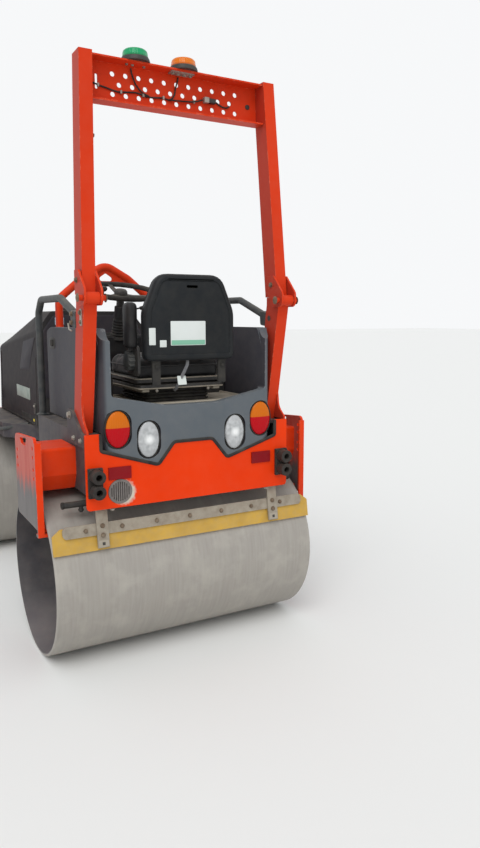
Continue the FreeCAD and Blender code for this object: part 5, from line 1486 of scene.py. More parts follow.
@dataclass
class Seat:
    """Driver's seat: moulded shell, padded back and cushion, suspension, strap and armrest."""

    shell_rear: float = -1.1920
    shell_deep: float = 0.046
    half: float = 0.203
    low: float = 1.268
    top: float = 1.617
    cushion_top: float = 1.2655
    base_height: float = 1.040
    welt: float = 0.0032

    def build(self) -> None:
        """Build the seat from its suspension up."""
        self.suspension()
        self.shell()
        self.back_pad()
        self.cushion()
        self.labels()
        self.strap()
        self.armrest()

    def back_outline(self, margin: float = 0.0) -> list[Corner]:
        """The back's outline in Y and Z, inset by a margin."""
        half, low, top = self.half, self.low, self.top
        left = [(half, low, 0.030), (half, low + 0.200, 0.120), (half - 0.060, top, 0.070)]
        return inset([(-half, low, 0.030)] + left + [(-c[0],) + c[1:] for c in left[:0:-1]], margin)

    def shell(self) -> None:
        """Moulded back shell with a raised rim, a hand slot and its hinge brackets."""
        form = Form()
        deep = self.shell_deep
        # inset from the outline, height towards the rear
        levels = [
            (0.004, 0.0), (0.0, 0.008), (0.0, deep - 0.020), (0.003, deep - 0.010), (0.009, deep - 0.003),
            (0.016, deep), (0.024, deep), (0.0265, deep - 0.0028), (0.0285, deep - 0.0028),
            (0.032, deep - 0.0006),
        ]
        form.panel(Looks.REAR, self.shell_rear + deep, self.back_outline(), levels)
        at = self.shell_rear + 0.0006
        slot = block((-0.030, 1.562), (0.020, 1.573), 0.0055)
        form.paint(1).panel(Looks.REAR, at, slot, [(0.0, 0.0), (0.0, 0.0007), (0.002, -0.003)])
        ledge = [
            (-0.110, 1.591, 0.004), (0.110, 1.591, 0.004), (0.104, 1.5955, 0.004), (-0.104, 1.5955, 0.004),
        ]
        form.paint(0).panel(Looks.REAR, at, ledge, crowned(0.0022, 0.0015))
        form.paint(1)
        for y in (-0.150, 0.150):
            bracket = block((y - 0.018, 1.170), (y + 0.018, 1.300), 0.006)
            form.panel(Looks.REAR, self.shell_rear + 0.030, bracket, crowned(0.010, 0.002))
            form.bolt((self.shell_rear + 0.020, y, 1.245), (-1, 0, 0), 0.008)
        form.done("seat_shell", "rear_body", [Shop.shell, Shop.rubber], "black_plastic", ["seat_back"])

    def padded(
        self, name: str, pad: Form, replaced: str, seams: Sequence[tuple[Point, Point]], welt: Sequence[Point]
    ) -> None:
        """Stuff a sewn cover and run its piping round it.

        Args:
            name: The seat part's name.
            pad: The cover.
            replaced: The CAD node that it stands for.
            seams: Lines that hold it down.
            welt: The piping's line.
        """
        cover = pad.done(f"{name}_pad", "rear_body", [Shop.vinyl], "seat_vinyl", [replaced])
        Padding(seams=tuple(seams)).stuff(cover)
        piping = Form().pipe(welt, self.welt, closed=True, sides=8)
        piping.done(f"{name}_welt", "rear_body", [Shop.vinyl], "seat_vinyl")

    def back_pad(self) -> None:
        """Sewn back pad on the shell's front, with side bolsters and two channels."""
        face = self.shell_rear + self.shell_deep
        front = face + 0.046
        levels = [(0.016, 0.0), (0.010, 0.008), (0.008, 0.022), (0.012, 0.036), (0.024, 0.046)]
        pad = Form().panel(Looks.FRONT, face - 0.001, self.back_outline(), levels)
        seams = [((front, y, 1.290), (front, y * 0.86, 1.590)) for y in (-0.118, 0.118)]
        seams += [((front, -0.118, z), (front, 0.118, z)) for z in (1.385, 1.500)]
        welt = [(face + 0.012, p.x, p.y) for p in rounded(self.back_outline(0.0075), 6)]
        self.padded("seat_back", pad, "seat_back", seams, welt)

    def cushion(self) -> None:
        """Sewn seat cushion in its moulded pan, crowned and with raised sides."""
        rear, front, top = -1.0752, -0.6332, self.cushion_top
        plan = [(front, -0.182, 0.060), (front, 0.182, 0.060), (rear, 0.2015, 0.025), (rear, -0.2015, 0.025)]
        rise = [(0.010, 0.0), (0.0, 0.008), (0.0, 0.024), (0.004, 0.027)]
        pan = Form().shaped(plan, rise, level_at(1.1655))
        edge = [(p.x, p.y, 1.1890) for p in rounded(inset(plan, -0.0005), 6)]
        pan.paint(1).pipe(edge, 0.0026, closed=True, sides=8)
        pan.done("seat_pan", "rear_body", [Shop.black, Shop.tray], "black_plastic", ["seat_cushion"])
        levels = [(0.010, 0.0), (0.006, 0.012), (0.006, 0.052), (0.014, 0.066), (0.030, 0.074)]
        pad = Form().shaped(plan, levels, level_at(1.1915))
        seams = [((-1.060, y, top), (-0.660, y, top)) for y in (-0.120, 0.120)]
        seams += [((x, -0.120, top), (x, 0.120, top)) for x in (-0.950, -0.820)]
        welt = [(p.x, p.y, 1.240) for p in rounded(inset(plan, 0.0035), 6)]
        self.padded("seat_cushion", pad, "seat_cushion", seams, welt)

    def suspension(self) -> None:
        """Base plate, ribbed bellows, upper plate, slide rails and the tray under them."""
        form = Form()
        base = block((-1.0872, -0.170), (-0.7172, 0.170), 0.012)
        form.shaped(base, crowned(0.018, 0.002), level_at(self.base_height))
        folds = block((-1.0572, -0.150), (-0.7472, 0.150), 0.030)
        ribs = [(0.004, 0.018)]
        for i in range(6):
            z = 0.018 + i * 0.0148
            ribs += [(0.004, z + 0.001), (0.0, z + 0.0045), (0.0, z + 0.0085), (0.012, z + 0.0135)]
        form.paint(1).shaped(folds, ribs + [(0.004, 0.107)], level_at(self.base_height))
        upper = block((-1.0972, -0.195), (-0.6672, 0.195), 0.014)
        form.paint(0).shaped(upper, crowned(0.0175, 0.002), level_at(1.147))
        trim = [(p.x, p.y, 1.1500) for p in rounded(inset(upper, -0.0005), 5)]
        form.paint(2).pipe(trim, 0.0030, closed=True, sides=8)
        for side in (1, -1):
            rail = block((-1.090, side * 0.165 - 0.016), (-0.690, side * 0.165 + 0.016), 0.004)
            form.paint(2).shaped(rail, crowned(0.010, 0.002), level_at(1.1360))
            form.paint(3).bolt((-1.075, side * 0.120, 1.058), UP, 0.010)
            form.bolt((-1.0990, side * 0.120, 1.1405), (-1, 0, 0), 0.006)
        finishes = [Shop.black, Shop.rubber, Shop.tray, Shop.zinc]
        form.done("seat_suspension", "rear_body", finishes, "black_metal", ["seat_base"])
        plan = [
            (-1.150, -0.330, 0.060), (-0.730, -0.330, 0.030), (-0.730, 0.330, 0.030),
            (-1.150, 0.330, 0.060),
        ]
        rise = [(0.0, 0.0), (0.0, 0.050), (0.003, 0.054), (0.010, 0.054), (0.014, 0.046)]
        Form().shaped(plan, rise, level_at(1.0410)).done("seat_tray", "rear_body", [Shop.tray], "steel")

    def labels(self) -> None:
        """Blank label films on the shell's rear, one with a pale green lower band."""
        form = Form()
        at = self.shell_rear + 0.0006
        # paint, depth, corner, corner, corner radius
        films = (
            (0, 0.0, (-0.063, 1.331), (0.094, 1.429), 0.003),
            (1, 0.0007, (-0.060, 1.333), (0.091, 1.352), 0.002),
            (0, 0.0, (0.160, 1.334), (0.188, 1.402), 0.003),
            (0, 0.0, (0.113, 1.325), (0.142, 1.353), 0.003),
        )
        for paint, proud, low, high, radius in films:
            levels = [(0.0, 0.0), (0.0, 0.0005), (0.0004, 0.0007)]
            form.paint(paint).panel(Looks.REAR, at - proud, block(low, high, radius), levels)
        form.done("seat_labels", "rear_body", [Shop.label, Shop.label_green], "black_plastic")

    def strap(self) -> None:
        """Webbing strap held between the shell and the upper plate, with a blank tag sewn on it."""
        line = [
            (-1.170, 0.010, 1.272), (-1.176, 0.015, 1.250), (-1.174, 0.028, 1.222), (-1.166, 0.040, 1.195),
            (-1.150, 0.044, 1.170), (-1.130, 0.045, 1.150), (-1.110, 0.045, 1.140), (-1.095, 0.045, 1.145),
        ]
        form = Form().swept(line, [(-0.0065, -0.001), (0.0065, -0.001), (0.0065, 0.001), (-0.0065, 0.001)])
        tag = aimed((-1.1685, 0.037, 1.186), (-0.93, 0.05, 0.30), (0, -1, 0))
        form.paint(1).shaped(centred(0.019, 0.019, 0.003), crowned(0.0022, 0.0008), tag)
        form.done("seat_strap", "rear_body", [Shop.strap, Shop.label], "black_plastic")

    def armrest(self) -> None:
        """Padded armrest turned up beside the back, with its bracket and grip dial."""
        hard = Form()
        bracket = block((-1.135, 1.205), (-1.020, 1.330), 0.030)
        hard.panel(Looks.LEFT, 0.2045, bracket, crowned(0.012, 0.004))
        dial = [(0.036, 0.0), (0.036, 0.020), (0.033, 0.026), (0.020, 0.029), (0.0, 0.029)]
        hard.paint(1).turned(dial, aimed((-1.070, 0.2165, 1.268), (0, 1, 0)), 28)
        for x, z in spots(12, 0.036):
            place = aimed((-1.070 + x, 0.2165, 1.268 + z), (0, 1, 0))
            hard.turned([(0.005, 0.0), (0.005, 0.024), (0.0, 0.026)], place, 8)
        hard.done("armrest_bracket", "rear_body", [Shop.black, Shop.handrail], "black_plastic")
        levels = [(0.008, 0.0), (0.0, 0.010), (0.0, 0.036), (0.010, 0.046)]
        pad = Form().panel(Looks.LEFT, 0.2080, block((-1.130, 1.318), (-1.062, 1.505), 0.028), levels)
        cover = pad.done("armrest_pad", "rear_body", [Shop.vinyl], "seat_vinyl")
        Padding(travel_mm=5.0, voxel_mm=5.0, fill=0.8).stuff(cover)


@dataclass
class Station:
    """Console, wheel, lever, floor, hoop and rails round the driver."""

    wheel_at: Point = (-0.37225, 0.0, 1.575)
    wheel_tilt: float = math.radians(-14.0)
    wheel_radius: float = 0.180
    rim_radius: float = 0.0138
    finger_grips: int = 30
    grip_share: float = 0.045
    hoop_x: float = REAR_AXLE + 0.705
    hoop_half: float = 0.255

    def build(self) -> None:
        """Dress the driver's place and add its controls."""
        dress_each(
            ("platform_floor", Shop.floor, 1.5), ("seat_deck", Shop.chassis, 3.0),
            ("steering_console", Shop.hood, 6.0), ("travel_lever", Shop.black, 2.0),
            ("front_hoop", Shop.frame_orange), ("grab_handles", Shop.handrail),
        )
        self.steering_wheel()
        self.dashboard()
        self.column()
        self.lever_gaiter()
        self.side_console()
        self.mat_and_pedal()
        self.tube_feet()
        self.handle_clamps()

    def steering_wheel(self) -> None:
        """Rim with finger grips, three dished spokes, a capped hub and a spinner knob."""
        place = Matrix.Translation(Vector(self.wheel_at)) @ Matrix.Rotation(self.wheel_tilt, 4, "Y")
        steps, radius = self.finger_grips * 4, self.wheel_radius
        rings = []
        for i in range(steps):
            turn = 2 * math.pi * i / steps
            fat = self.rim_radius * (1 - self.grip_share * (0.5 - 0.5 * math.cos(turn * self.finger_grips)))
            x, y = math.cos(turn), math.sin(turn)
            rings.append([((radius + a) * x, (radius + a) * y, b) for a, b in spots(12, fat)])
        form = Form().skin(rings, place, loop=True)
        # reach, half width, height
        stations = (
            (0.026, 0.019, -0.016), (0.060, 0.015, -0.016), (0.120, 0.012, -0.010), (0.172, 0.011, -0.001),
        )
        thick = 0.003
        arm = [
            [(x, -w, z - thick), (x, w, z - thick), (x, w, z + thick), (x, -w, z + thick)]
            for x, w, z in stations
        ]
        for i in range(3):
            turn = Matrix.Rotation(2 * math.pi * i / 3, 4, "Z")
            form.paint(1).skin(arm, place @ turn, ease=0.0012)
        hub = [
            (0.0195, -0.074), (0.0195, -0.024), (0.0335, -0.020), (0.0340, -0.008), (0.0310, 0.004),
            (0.0240, 0.0105), (0.0120, 0.0135), (0.0, 0.0140),
        ]
        form.turned(hub, place, 36)
        knob = [
            (0.007, 0.006), (0.007, 0.022), (0.016, 0.026), (0.021, 0.034), (0.021, 0.040), (0.016, 0.047),
            (0.0, 0.0495),
        ]
        form.paint(0).turned(knob, place @ Matrix.Translation((-0.118, 0.136, 0.0)), 24)
        finishes = [Shop.rubber, Shop.black]
        form.done("steering_wheel_rim", "wheel", finishes, "black_plastic", ["steering_wheel"])

    def dashboard(self) -> None:
        """Instrument pod with a dial, lamps and switches, a key barrel and blank labels."""
        form = Form()
        face = aimed((-0.2280, 0.0, 1.3250), (-0.9848, 0.0, 0.1736), (0, -1, 0))
        form.shaped(block((-0.150, -0.042), (0.150, 0.040), 0.012), crowned(0.007, 0.003), face)
        bezel = [(0.026, 0.007), (0.026, 0.012), (0.0235, 0.013), (0.0225, 0.0095), (0.0, 0.0095)]
        lamp = [(0.0055, 0.007), (0.0055, 0.009), (0.0, 0.0105)]
        key = [(0.013, 0.007), (0.013, 0.012), (0.009, 0.013), (0.009, 0.016), (0.0, 0.016)]
        stop = [(0.012, 0.007), (0.012, 0.012), (0.018, 0.016), (0.017, 0.022), (0.0, 0.024)]
        for i in range(4):
            switch = block((-0.128 + i * 0.022, -0.018), (-0.112 + i * 0.022, 0.014), 0.002)
            form.paint(2).shaped(switch, crowned(0.0115, 0.002, 0.007), face)
        # paint, across, up, profile, sides
        knobs = [(1, 0.0, 0.0, bezel, 32), (6, 0.118, -0.016, key, 20), (4, 0.072, -0.018, stop, 24)]
        knobs += [(paint, 0.046 + i * 0.020, 0.016, lamp, 14) for i, paint in enumerate((3, 4, 5, 3))]
        for paint, x, y, profile, sides in knobs:
            form.paint(paint).turned(profile, face @ Matrix.Translation((x, y, 0.0)), sides)
        labels = aimed((-0.2318, 0.0, 1.2730), (-0.996, 0.0, 0.087), (0, -1, 0))
        upper = block((-0.030, 0.000), (0.044, 0.022), 0.002)
        lower = block((-0.006, -0.034), (0.044, -0.008), 0.002)
        form.paint(3).shaped(upper, [(0.0, -0.002), (0.0, 0.0015)], labels)
        form.paint(7).shaped(lower, [(0.0, -0.006), (0.0, 0.0022)], labels)
        finishes = [
            Shop.black, Shop.rubber, Shop.handrail, Shop.label_yellow, Shop.reflector, Shop.green, Shop.zinc,
            Shop.label,
        ]
        form.done("dashboard", "rear_body", finishes, "black_plastic")

    def column(self) -> None:
        """Folded gaiter round the steering column, and the stalk under the wheel."""
        axis = Vector((math.sin(self.wheel_tilt), 0.0, math.cos(self.wheel_tilt)))
        foot = Vector(self.wheel_at) - axis * 0.245
        stalk = Vector(self.wheel_at) - axis * 0.100
        ribs = [(0.046, 0.0), (0.044, 0.006)]
        for i in range(7):
            z = 0.010 + i * 0.014
            ribs += [(0.040 - i * 0.0012, z), (0.034 - i * 0.0008, z + 0.007)]
        form = Form().turned(ribs + [(0.0285, 0.112), (0.0285, 0.116)], aimed(foot, axis), 32)
        line = [stalk, stalk + Vector((-0.012, -0.050, 0.004)), stalk + Vector((-0.022, -0.112, 0.016))]
        form.paint(1).pipe(line, 0.0045, sides=10)
        grip = [(0.0, 0.0), (0.009, 0.002), (0.010, 0.020), (0.006, 0.026), (0.0, 0.027)]
        form.turned(grip, aimed(stalk + Vector((-0.020, -0.100, 0.013)), (-0.15, -0.97, 0.18)), 16)
        form.done("column_gaiter", "rear_body", [Shop.rubber, Shop.black], "black_plastic")

    def lever_gaiter(self) -> None:
        """Folded gaiter over the travel lever's box, and a shaped grip on its knob."""
        levels = [(-0.006, 0.0), (-0.006, 0.004)]
        for i in range(6):
            z, fold = 0.004 + i * 0.010, i * 0.0036
            levels += [(fold, z + 0.001), (fold - 0.002, z + 0.004), (fold + 0.004, z + 0.009)]
        form = Form().shaped(block((-0.8080, -0.3300), (-0.7460, -0.2700), 0.016), levels, level_at(1.190))
        grip = [(0.0085, 0.0), (0.013, 0.004), (0.013, 0.014), (0.010, 0.018), (0.0085, 0.018)]
        form.paint(1).turned(grip, aimed((-0.7705, -0.2950, 1.338), (0.10, 0.05, 0.99)), 18)
        form.done("lever_gaiter", "rear_body", [Shop.rubber, Shop.zinc], "black_plastic")

    def side_console(self) -> None:
        """Low console left of the seat with a round control, a socket and a cup recess."""
        rise = [(0.0, 0.0), (0.0, 0.150), (0.004, 0.165), (0.014, 0.175), (0.022, 0.176)]
        form = Form().shaped(block((-0.930, 0.245), (-0.700, 0.345), 0.030), rise, level_at(1.041))
        top = 1.217
        knob = [(0.024, 0.0), (0.024, 0.016), (0.021, 0.021), (0.010, 0.0235), (0.0, 0.0235)]
        form.paint(1).turned(knob, aimed((-0.880, 0.292, top)), 28)
        form.paint(2).turned([(0.017, 0), (0.017, 0.005), (0.0, 0.006)], aimed((-0.815, 0.292, top)), 24)
        ring = [(0.040, 0.0), (0.040, 0.004), (0.036, 0.005), (0.034, 0.001), (0.0, 0.001)]
        form.turned(ring, aimed((-0.752, 0.295, top)), 32)
        form.done("side_console", "rear_body", [Shop.black, Shop.handrail, Shop.rubber], "black_plastic")

    def mat_and_pedal(self) -> None:
        """Ribbed rubber floor mat, a foot rest and the brake pedal."""
        form = Form()
        mat = level_at(0.7603)
        form.shaped(block((-0.470, -0.400), (-0.300, 0.400), 0.025), crowned(0.004, 0.002), mat)
        for i in range(9):
            x = -0.460 + i * 0.0185
            rib = block((x, -0.385), (x + 0.008, 0.385), 0.003)
            form.shaped(rib, [(0.0, 0.004), (0.0, 0.0055), (0.001, 0.0065)], mat)
        arm = [(-0.300, -0.230, 0.790), (-0.345, -0.230, 0.815), (-0.375, -0.230, 0.870)]
        form.paint(1).pipe(arm, 0.009, sides=12)
        pad = aimed((-0.378, -0.230, 0.872), (-0.80, 0.0, 0.60), (0, 1, 0))
        form.shaped(centred(0.042, 0.032, 0.010), crowned(0.008, 0.002), pad)
        for i in range(5):
            y = -0.026 + i * 0.0125
            rib = block((-0.036, y), (0.036, y + 0.005), 0.002)
            form.paint(0).shaped(rib, [(0.0, 0.008), (0.0, 0.0105)], pad)
        form.done("floor_mat", "rear_body", [Shop.rubber, Shop.black], "black_plastic")

    def tube_feet(self) -> None:
        """Weld flanges where the hoop and the handrails stand, each with its bolts."""
        hoop, rails = Form(), Form()
        wide = [(0.040, 0.0), (0.040, 0.005), (0.038, 0.007), (0.024, 0.007), (0.0215, 0.011), (0.020, 0.011)]
        slim = [(0.016, 0.0), (0.030, 0.0), (0.030, 0.005), (0.0205, 0.006), (0.018, 0.010), (0.016, 0.010)]
        for side in (1, -1):
            y = side * self.hoop_half
            hoop.paint(0).turned(wide, aimed((self.hoop_x, y, 0.760)), 32)
            for apart in (0.031, -0.031):
                hoop.paint(1).bolt((self.hoop_x, y + apart, 0.767), UP, 0.008)
            rails.turned(slim, aimed((-0.44725, side * 0.436, 0.985)), 28)
        hoop.done("hoop_flanges", "rear_body", [Shop.frame_orange, Shop.zinc], "orange")
        rails.done("handrail_flanges", "rear_body", [Shop.handrail], "black_metal")

    def handle_clamps(self) -> None:
        """Clamp blocks that hold the handrails' rear ends to the posts."""
        form = Form()
        outline = [
            (-1.112, 1.402, 0.006), (-1.050, 1.410, 0.010), (-1.044, 1.474, 0.010), (-1.110, 1.466, 0.006),
        ]
        levels = [(0.003, 0.0), (0.0, 0.003), (0.0, 0.0455), (0.003, 0.0485)]
        for side, looks in SIDES:
            form.paint(0).panel(looks, 0.4120, outline, levels)
            for x, z in ((-1.066, 1.424), (-1.068, 1.458)):
                form.paint(1).bolt((x, side * 0.4605, z), (0, side, 0), 0.010)
            line = ((-1.080, 0.4665, 1.392), (-1.052, 0.4680, 1.398), (-1.034, 0.4660, 1.420))
            form.paint(2).pipe([(x, side * y, z) for x, y, z in line], 0.0035, sides=8)
        form.done("handle_clamps", "rear_body", [Shop.handrail, Shop.rusty, Shop.zinc], "black_metal")


@dataclass
class FrontHalf:
    """Hood, grille, engine, front bumper, lamps and frame."""

    hood_rear: float = 0.1027
    bumper_face: float = 1.2228
    lamp_y: float = 0.385
    fan_x: float = 0.904
    grille_x: float = 1.1975

    def build(self) -> None:
        """Dress the front frame and what it carries."""
        dress_each(
            ("front_frame", Shop.chassis, 2.0), ("front_bumper", Shop.orange, 2.0), ("hood", Shop.hood, 8.0),
            ("hood_grille", Shop.black, 1.0), ("engine_block", Shop.iron, 6.0),
        )
        self.hood_sides()
        self.hood_rear_face()
        self.hood_top()
        self.head_lamps()
        self.grille_surround()
        self.engine_dressing()
        self.step_rails()
        self.front_bolts()

    def hood_sides(self) -> None:
        """Facets, split lines, vents, latches and blank labels on both sides of the hood."""
        facets, seams, vents, films, latches = Form(), Form(), Form(), Form(), Form()
        facet = [
            (0.132, 1.340, 0.012), (0.420, 1.308, 0.020), (0.555, 1.135, 0.020), (0.300, 1.150, 0.020),
            (0.232, 1.246, 0.030),
        ]
        vent = [(0.0, 0.0), (0.0, 0.0030), (0.002, 0.0040), (0.005, 0.0024)]
        grey = block((0.300, 0.972), (0.640, 1.040), 0.004)
        yellow = block((0.205, 0.858), (0.232, 0.872), 0.003)
        for side, looks in SIDES:
            facets.panel(looks, 0.3165, facet, [(0.0, 0.0), (0.0, 0.0038), (0.003, 0.0052)])
            for x in (0.140, 1.090):
                line = [(x, side * 0.3238, 0.850), (x, side * 0.3218, 1.050), (x, side * 0.3198, 1.225)]
                seams.pipe(line, 0.0022, sides=6)
            seams.pipe([(x, side * 0.3242, 0.846) for x in (0.140, 0.600, 1.090)], 0.0022, sides=6)
            vents.panel(looks, 0.3212, block((0.110, 0.851), (0.540, 0.886), 0.010), vent)
            films.paint(0).panel(looks, 0.3195, grey, [(0.0, 0.0), (0.0, 0.0036), (0.0005, 0.0039)])
            films.paint(1).panel(looks, 0.3228, yellow, [(0.0, 0.0), (0.0, 0.0032), (0.001, 0.0036)])
            latch = block((0.160, 0.905), (0.196, 0.965), 0.008)
            latches.paint(0).panel(looks, 0.3205, latch, crowned(0.009, 0.003))
            latches.paint(1).bolt((0.178, side * 0.3290, 0.950), (0, side, 0), 0.007)
        # The facets carry the hood plastic painted lighter as painted light.
        facets.done("hood_facets", "hood_body", [Shop.hood_lit], "hood_grey")
        seams.done("hood_seams", "hood_body", [Shop.rubber], "black_plastic")
        vents.done("hood_vents", "hood_body", [Shop.rubber], "black_plastic")
        films.done("hood_labels", "hood_body", [Shop.label_grey, Shop.label_yellow], "black_plastic")
        latches.done("hood_latches", "hood_body", [Shop.black, Shop.zinc], "black_plastic")

    def hood_rear_face(self) -> None:
        """Rear panel, painted lighter as painted light, with its blank blue label and a vent grid."""
        left = [(0.296, 1.000, 0.030), (0.292, 1.360, 0.030), (0.222, 1.458, 0.030)]
        outline = [(-0.296, 1.000, 0.030)] + left + [(-c[0],) + c[1:] for c in left[:0:-1]]
        levels = [(0.0, 0.0), (0.0, 0.003), (0.004, 0.0055), (0.010, 0.0055)]
        form = Form().panel(Looks.REAR, self.hood_rear + 0.001, outline, levels)
        at = self.hood_rear - 0.0045
        film = block((0.165, 1.405), (0.215, 1.445), 0.003)
        form.paint(1).panel(Looks.REAR, at, film, [(0.0, 0.0), (0.0, 0.0006), (0.0005, 0.0008)])
        for i in range(8):
            z = 1.060 + i * 0.022
            slot = block((-0.150, z), (0.150, z + 0.010), 0.004)
            rim = [(0.0, 0.0), (0.0, 0.0012), (0.001, 0.0016), (0.003, 0.0004)]
            form.paint(2).panel(Looks.REAR, at, slot, rim)
        finishes = [Shop.hood_lit, Shop.label_blue, Shop.rubber]
        form.done("hood_rear_panel", "hood_body", finishes, "hood_grey")

    def hood_top(self) -> None:
        """Filler cap with grip ribs on the hood's top."""
        cap = [(0.052, -0.004), (0.052, 0.004), (0.046, 0.006), (0.046, 0.020), (0.042, 0.024), (0.0, 0.025)]
        form = Form().turned(cap, aimed((0.230, 0.120, 1.4795)), 36)
        for x, y in spots(14, 0.046):
            place = aimed((0.230 + x, 0.120 + y, 1.4860))
            form.turned([(0.0045, 0.0), (0.0045, 0.012), (0.0, 0.013)], place, 8)
        form.done("filler_cap", "hood_body", [Shop.black], "black_plastic")

    def head_lamps(self) -> None:
        """Round head lamps: a black bowl, a bezel, a fluted lens and a stem to the bumper's ears."""
        form = Form()
        bowl = [
            (0.0, 0.002), (0.022, 0.0025), (0.036, 0.010), (0.0435, 0.024), (0.0455, 0.038), (0.0458, 0.052),
            (0.0435, 0.0565), (0.0405, 0.0560), (0.0400, 0.0510),
        ]
        lens = [(0.0398, 0.048), (0.0398, 0.0535), (0.036, 0.0565), (0.022, 0.0585), (0.0, 0.0592)]
        for side in (1, -1):
            place = aimed((1.1610, side * self.lamp_y, 0.930), (1, 0, 0), (0, 1, 0))
            form.paint(1).turned(bowl, place, 44)
            form.paint(0).turned(lens, place, 44)
            form.paint(1).turned(disc(0.012, 0.0, 0.020), aimed((1.195, side * self.lamp_y, 0.866)), 16)
        form.done("head_lamp_lenses", "front_body", [Shop.head, Shop.black], "clear_lens", ["head_lamps"])

    def grille_surround(self) -> None:
        """Rounded surround and cross bars over the grille."""
        x = self.grille_x
        ring = [(x, p.x, p.y) for p in rounded(block((-0.188, 0.897), (0.188, 1.143), 0.020), 6)]
        form = Form().pipe(ring, 0.0042, closed=True, sides=8)
        for z in (0.960, 1.020, 1.080):
            form.pipe([(x - 0.001, y, z) for y in (-0.186, 0.0, 0.186)], 0.0026, sides=6)
        form.done("grille_surround", "hood_body", [Shop.black], "black_plastic")

    def engine_dressing(self) -> None:
        """Rocker cover, air filter, intake pipe, fan and pulleys on the engine block."""
        form = Form()
        rocker = block((0.400, -0.075), (0.840, 0.075), 0.025)
        form.shaped(rocker, crowned(0.050, 0.014), level_at(1.2295))
        for i in range(4):
            form.bolt((0.445 + i * 0.117, 0.0, 1.2795), UP, 0.010)
        air = [
            (0.0, 0.0), (0.052, 0.002), (0.056, 0.010), (0.056, 0.180), (0.060, 0.184), (0.060, 0.205),
            (0.050, 0.212), (0.0, 0.212),
        ]
        form.paint(1).turned(air, aimed((0.440, 0.140, 1.2860), (1, 0, 0)), 36)
        intake = [
            (0.650, 0.140, 1.286), (0.700, 0.138, 1.286), (0.735, 0.120, 1.278), (0.750, 0.092, 1.262),
            (0.752, 0.070, 1.250),
        ]
        form.pipe(intake, 0.022, sides=16)
        fan = aimed((self.fan_x, 0.0, 1.030), (1, 0, 0))
        hub = [(0.070, 0.0), (0.070, 0.008), (0.060, 0.012), (0.060, 0.022), (0.030, 0.030), (0.0, 0.030)]
        form.paint(0).turned(hub, fan, 36)
        blade = [(0.050, -0.024, 0.01), (0.150, -0.034, 0.02), (0.150, 0.034, 0.02), (0.050, 0.024, 0.01)]
        for i in range(6):
            turn = fan @ Matrix.Rotation(2 * math.pi * i / 6, 4, "Z") @ Matrix.Rotation(0.5, 4, "X")
            form.paint(1).shaped(blade, [(0.0, 0.020), (0.0, 0.024)], turn)
        for y, z, r in ((-0.120, 1.120, 0.042), (0.090, 0.900, 0.060)):
            pulley = [(r, 0.0), (r, 0.006), (r - 0.006, 0.010), (r, 0.014), (r, 0.020), (0.0, 0.022)]
            form.paint(0).turned(pulley, aimed((self.fan_x, y, z), (1, 0, 0)), 32)
        form.done("engine_dressing", "front_body", [Shop.alloy, Shop.black, Shop.rubber], "black_metal")

    def step_rails(self) -> None:
        """Tubular step rails along the front frame's sides."""
        form = Form()
        line = [
            (0.330, 0.330, 0.826), (0.380, 0.380, 0.820), (0.430, 0.440, 0.800), (0.480, 0.468, 0.792),
            (0.560, 0.472, 0.790), (0.640, 0.472, 0.796), (0.720, 0.472, 0.824), (0.790, 0.472, 0.858),
            (0.838, 0.472, 0.884),
        ]
        for side in (1, -1):
            form.pipe([(x, side * y, z) for x, y, z in line], 0.011)
        form.done("step_rails", "front_body", [Shop.handrail], "black_metal")

    def front_bolts(self) -> None:
        """Bolts on the front bumper and a blank plate between them."""
        form = Form()
        for side in (1, -1):
            for z in (0.725, 0.815):
                form.bolt((self.bumper_face, side * 0.330, z), (1, 0, 0), 0.011)
        plate = block((-0.180, 0.720), (0.180, 0.800), 0.008)
        form.paint(1).panel(Looks.FRONT, self.bumper_face - 0.0005, plate, crowned(0.003, 0.0015))
        form.done("front_bumper_bolts", "front_body", [Shop.zinc, Shop.label], "steel")


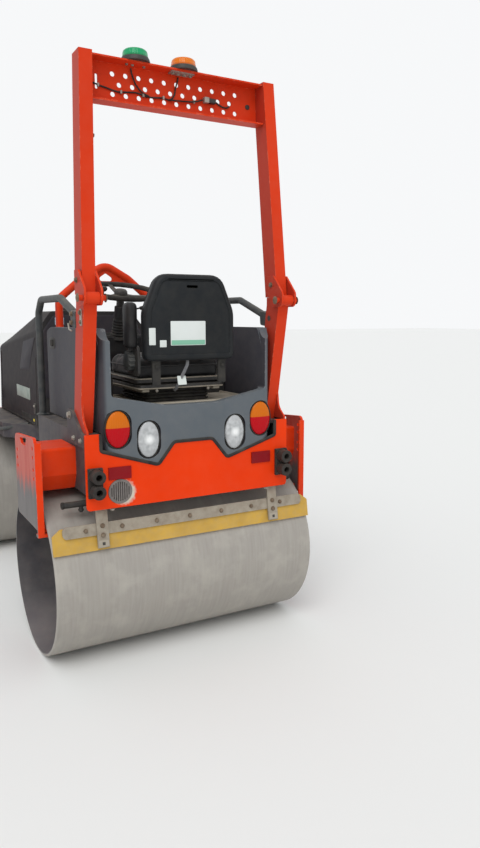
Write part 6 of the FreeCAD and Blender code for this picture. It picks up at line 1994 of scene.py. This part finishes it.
@dataclass
class Articulation:
    """Pivot knuckle and the steering cylinder."""

    cap_top: float = 0.6555
    cylinder_y: float = 0.150
    cylinder_z: float = 0.500

    def build(self) -> None:
        """Dress the joint between the two halves."""
        dress_each(
            ("pivot_knuckle", Shop.chassis, 2.0), ("steer_barrel", Shop.chassis, 1.0),
            ("steer_ram", Shop.chrome),
        )
        self.pivot_cap()
        self.barrel_fittings()

    def pivot_cap(self) -> None:
        """Cap, bolts and grease nipple over the pivot pin."""
        top = self.cap_top
        cap = [(0.056, -0.0105), (0.056, -0.003), (0.053, 0.0), (0.020, 0.002), (0.0, 0.002)]
        form = Form().turned(cap, aimed((PIVOT, 0.0, top)), 36).paint(1)
        for x, y in spots(4, 0.042, math.pi / 4):
            form.bolt((PIVOT + x, y, top), UP, 0.008)
        nipple = [(0.005, 0.0), (0.005, 0.005), (0.0035, 0.008), (0.0045, 0.011), (0.0, 0.013)]
        form.turned(nipple, aimed((PIVOT, 0.0, top + 0.002)), 12)
        form.done("pivot_cap", "rear_body", [Shop.chassis, Shop.zinc], "black_metal")

    def barrel_fittings(self) -> None:
        """Gland collar and hose ports on the steering cylinder."""
        form = Form()
        port = [(0.012, 0.0), (0.012, 0.012), (0.009, 0.014), (0.009, 0.022), (0.0, 0.023)]
        for x in (-0.385, -0.190):
            form.turned(port, aimed((x, self.cylinder_y, self.cylinder_z + 0.028)), 16)
        collar = [(0.0300, 0.0), (0.0325, 0.001), (0.0325, 0.012), (0.0300, 0.013)]
        for x in (-0.170, -0.4025):
            form.paint(1).turned(collar, aimed((x, self.cylinder_y, self.cylinder_z), (1, 0, 0)), 28)
        form.done("cylinder_fittings", "cylinder", [Shop.zinc, Shop.chassis], "steel")


def main() -> None:
    """Build the machine's looks, assembly by assembly."""
    logging.basicConfig(level=logging.INFO, format="%(message)s")
    Studio().build()
    drums = [DrumSet(End.REAR), DrumSet(End.FRONT)]
    for assembly in drums + [RearPanel(), RollFrame(), Seat(), Station(), FrontHalf(), Articulation()]:
        assembly.build()
        LOG.info("built %s", type(assembly).__name__)


if __name__ == "__main__":
    main()
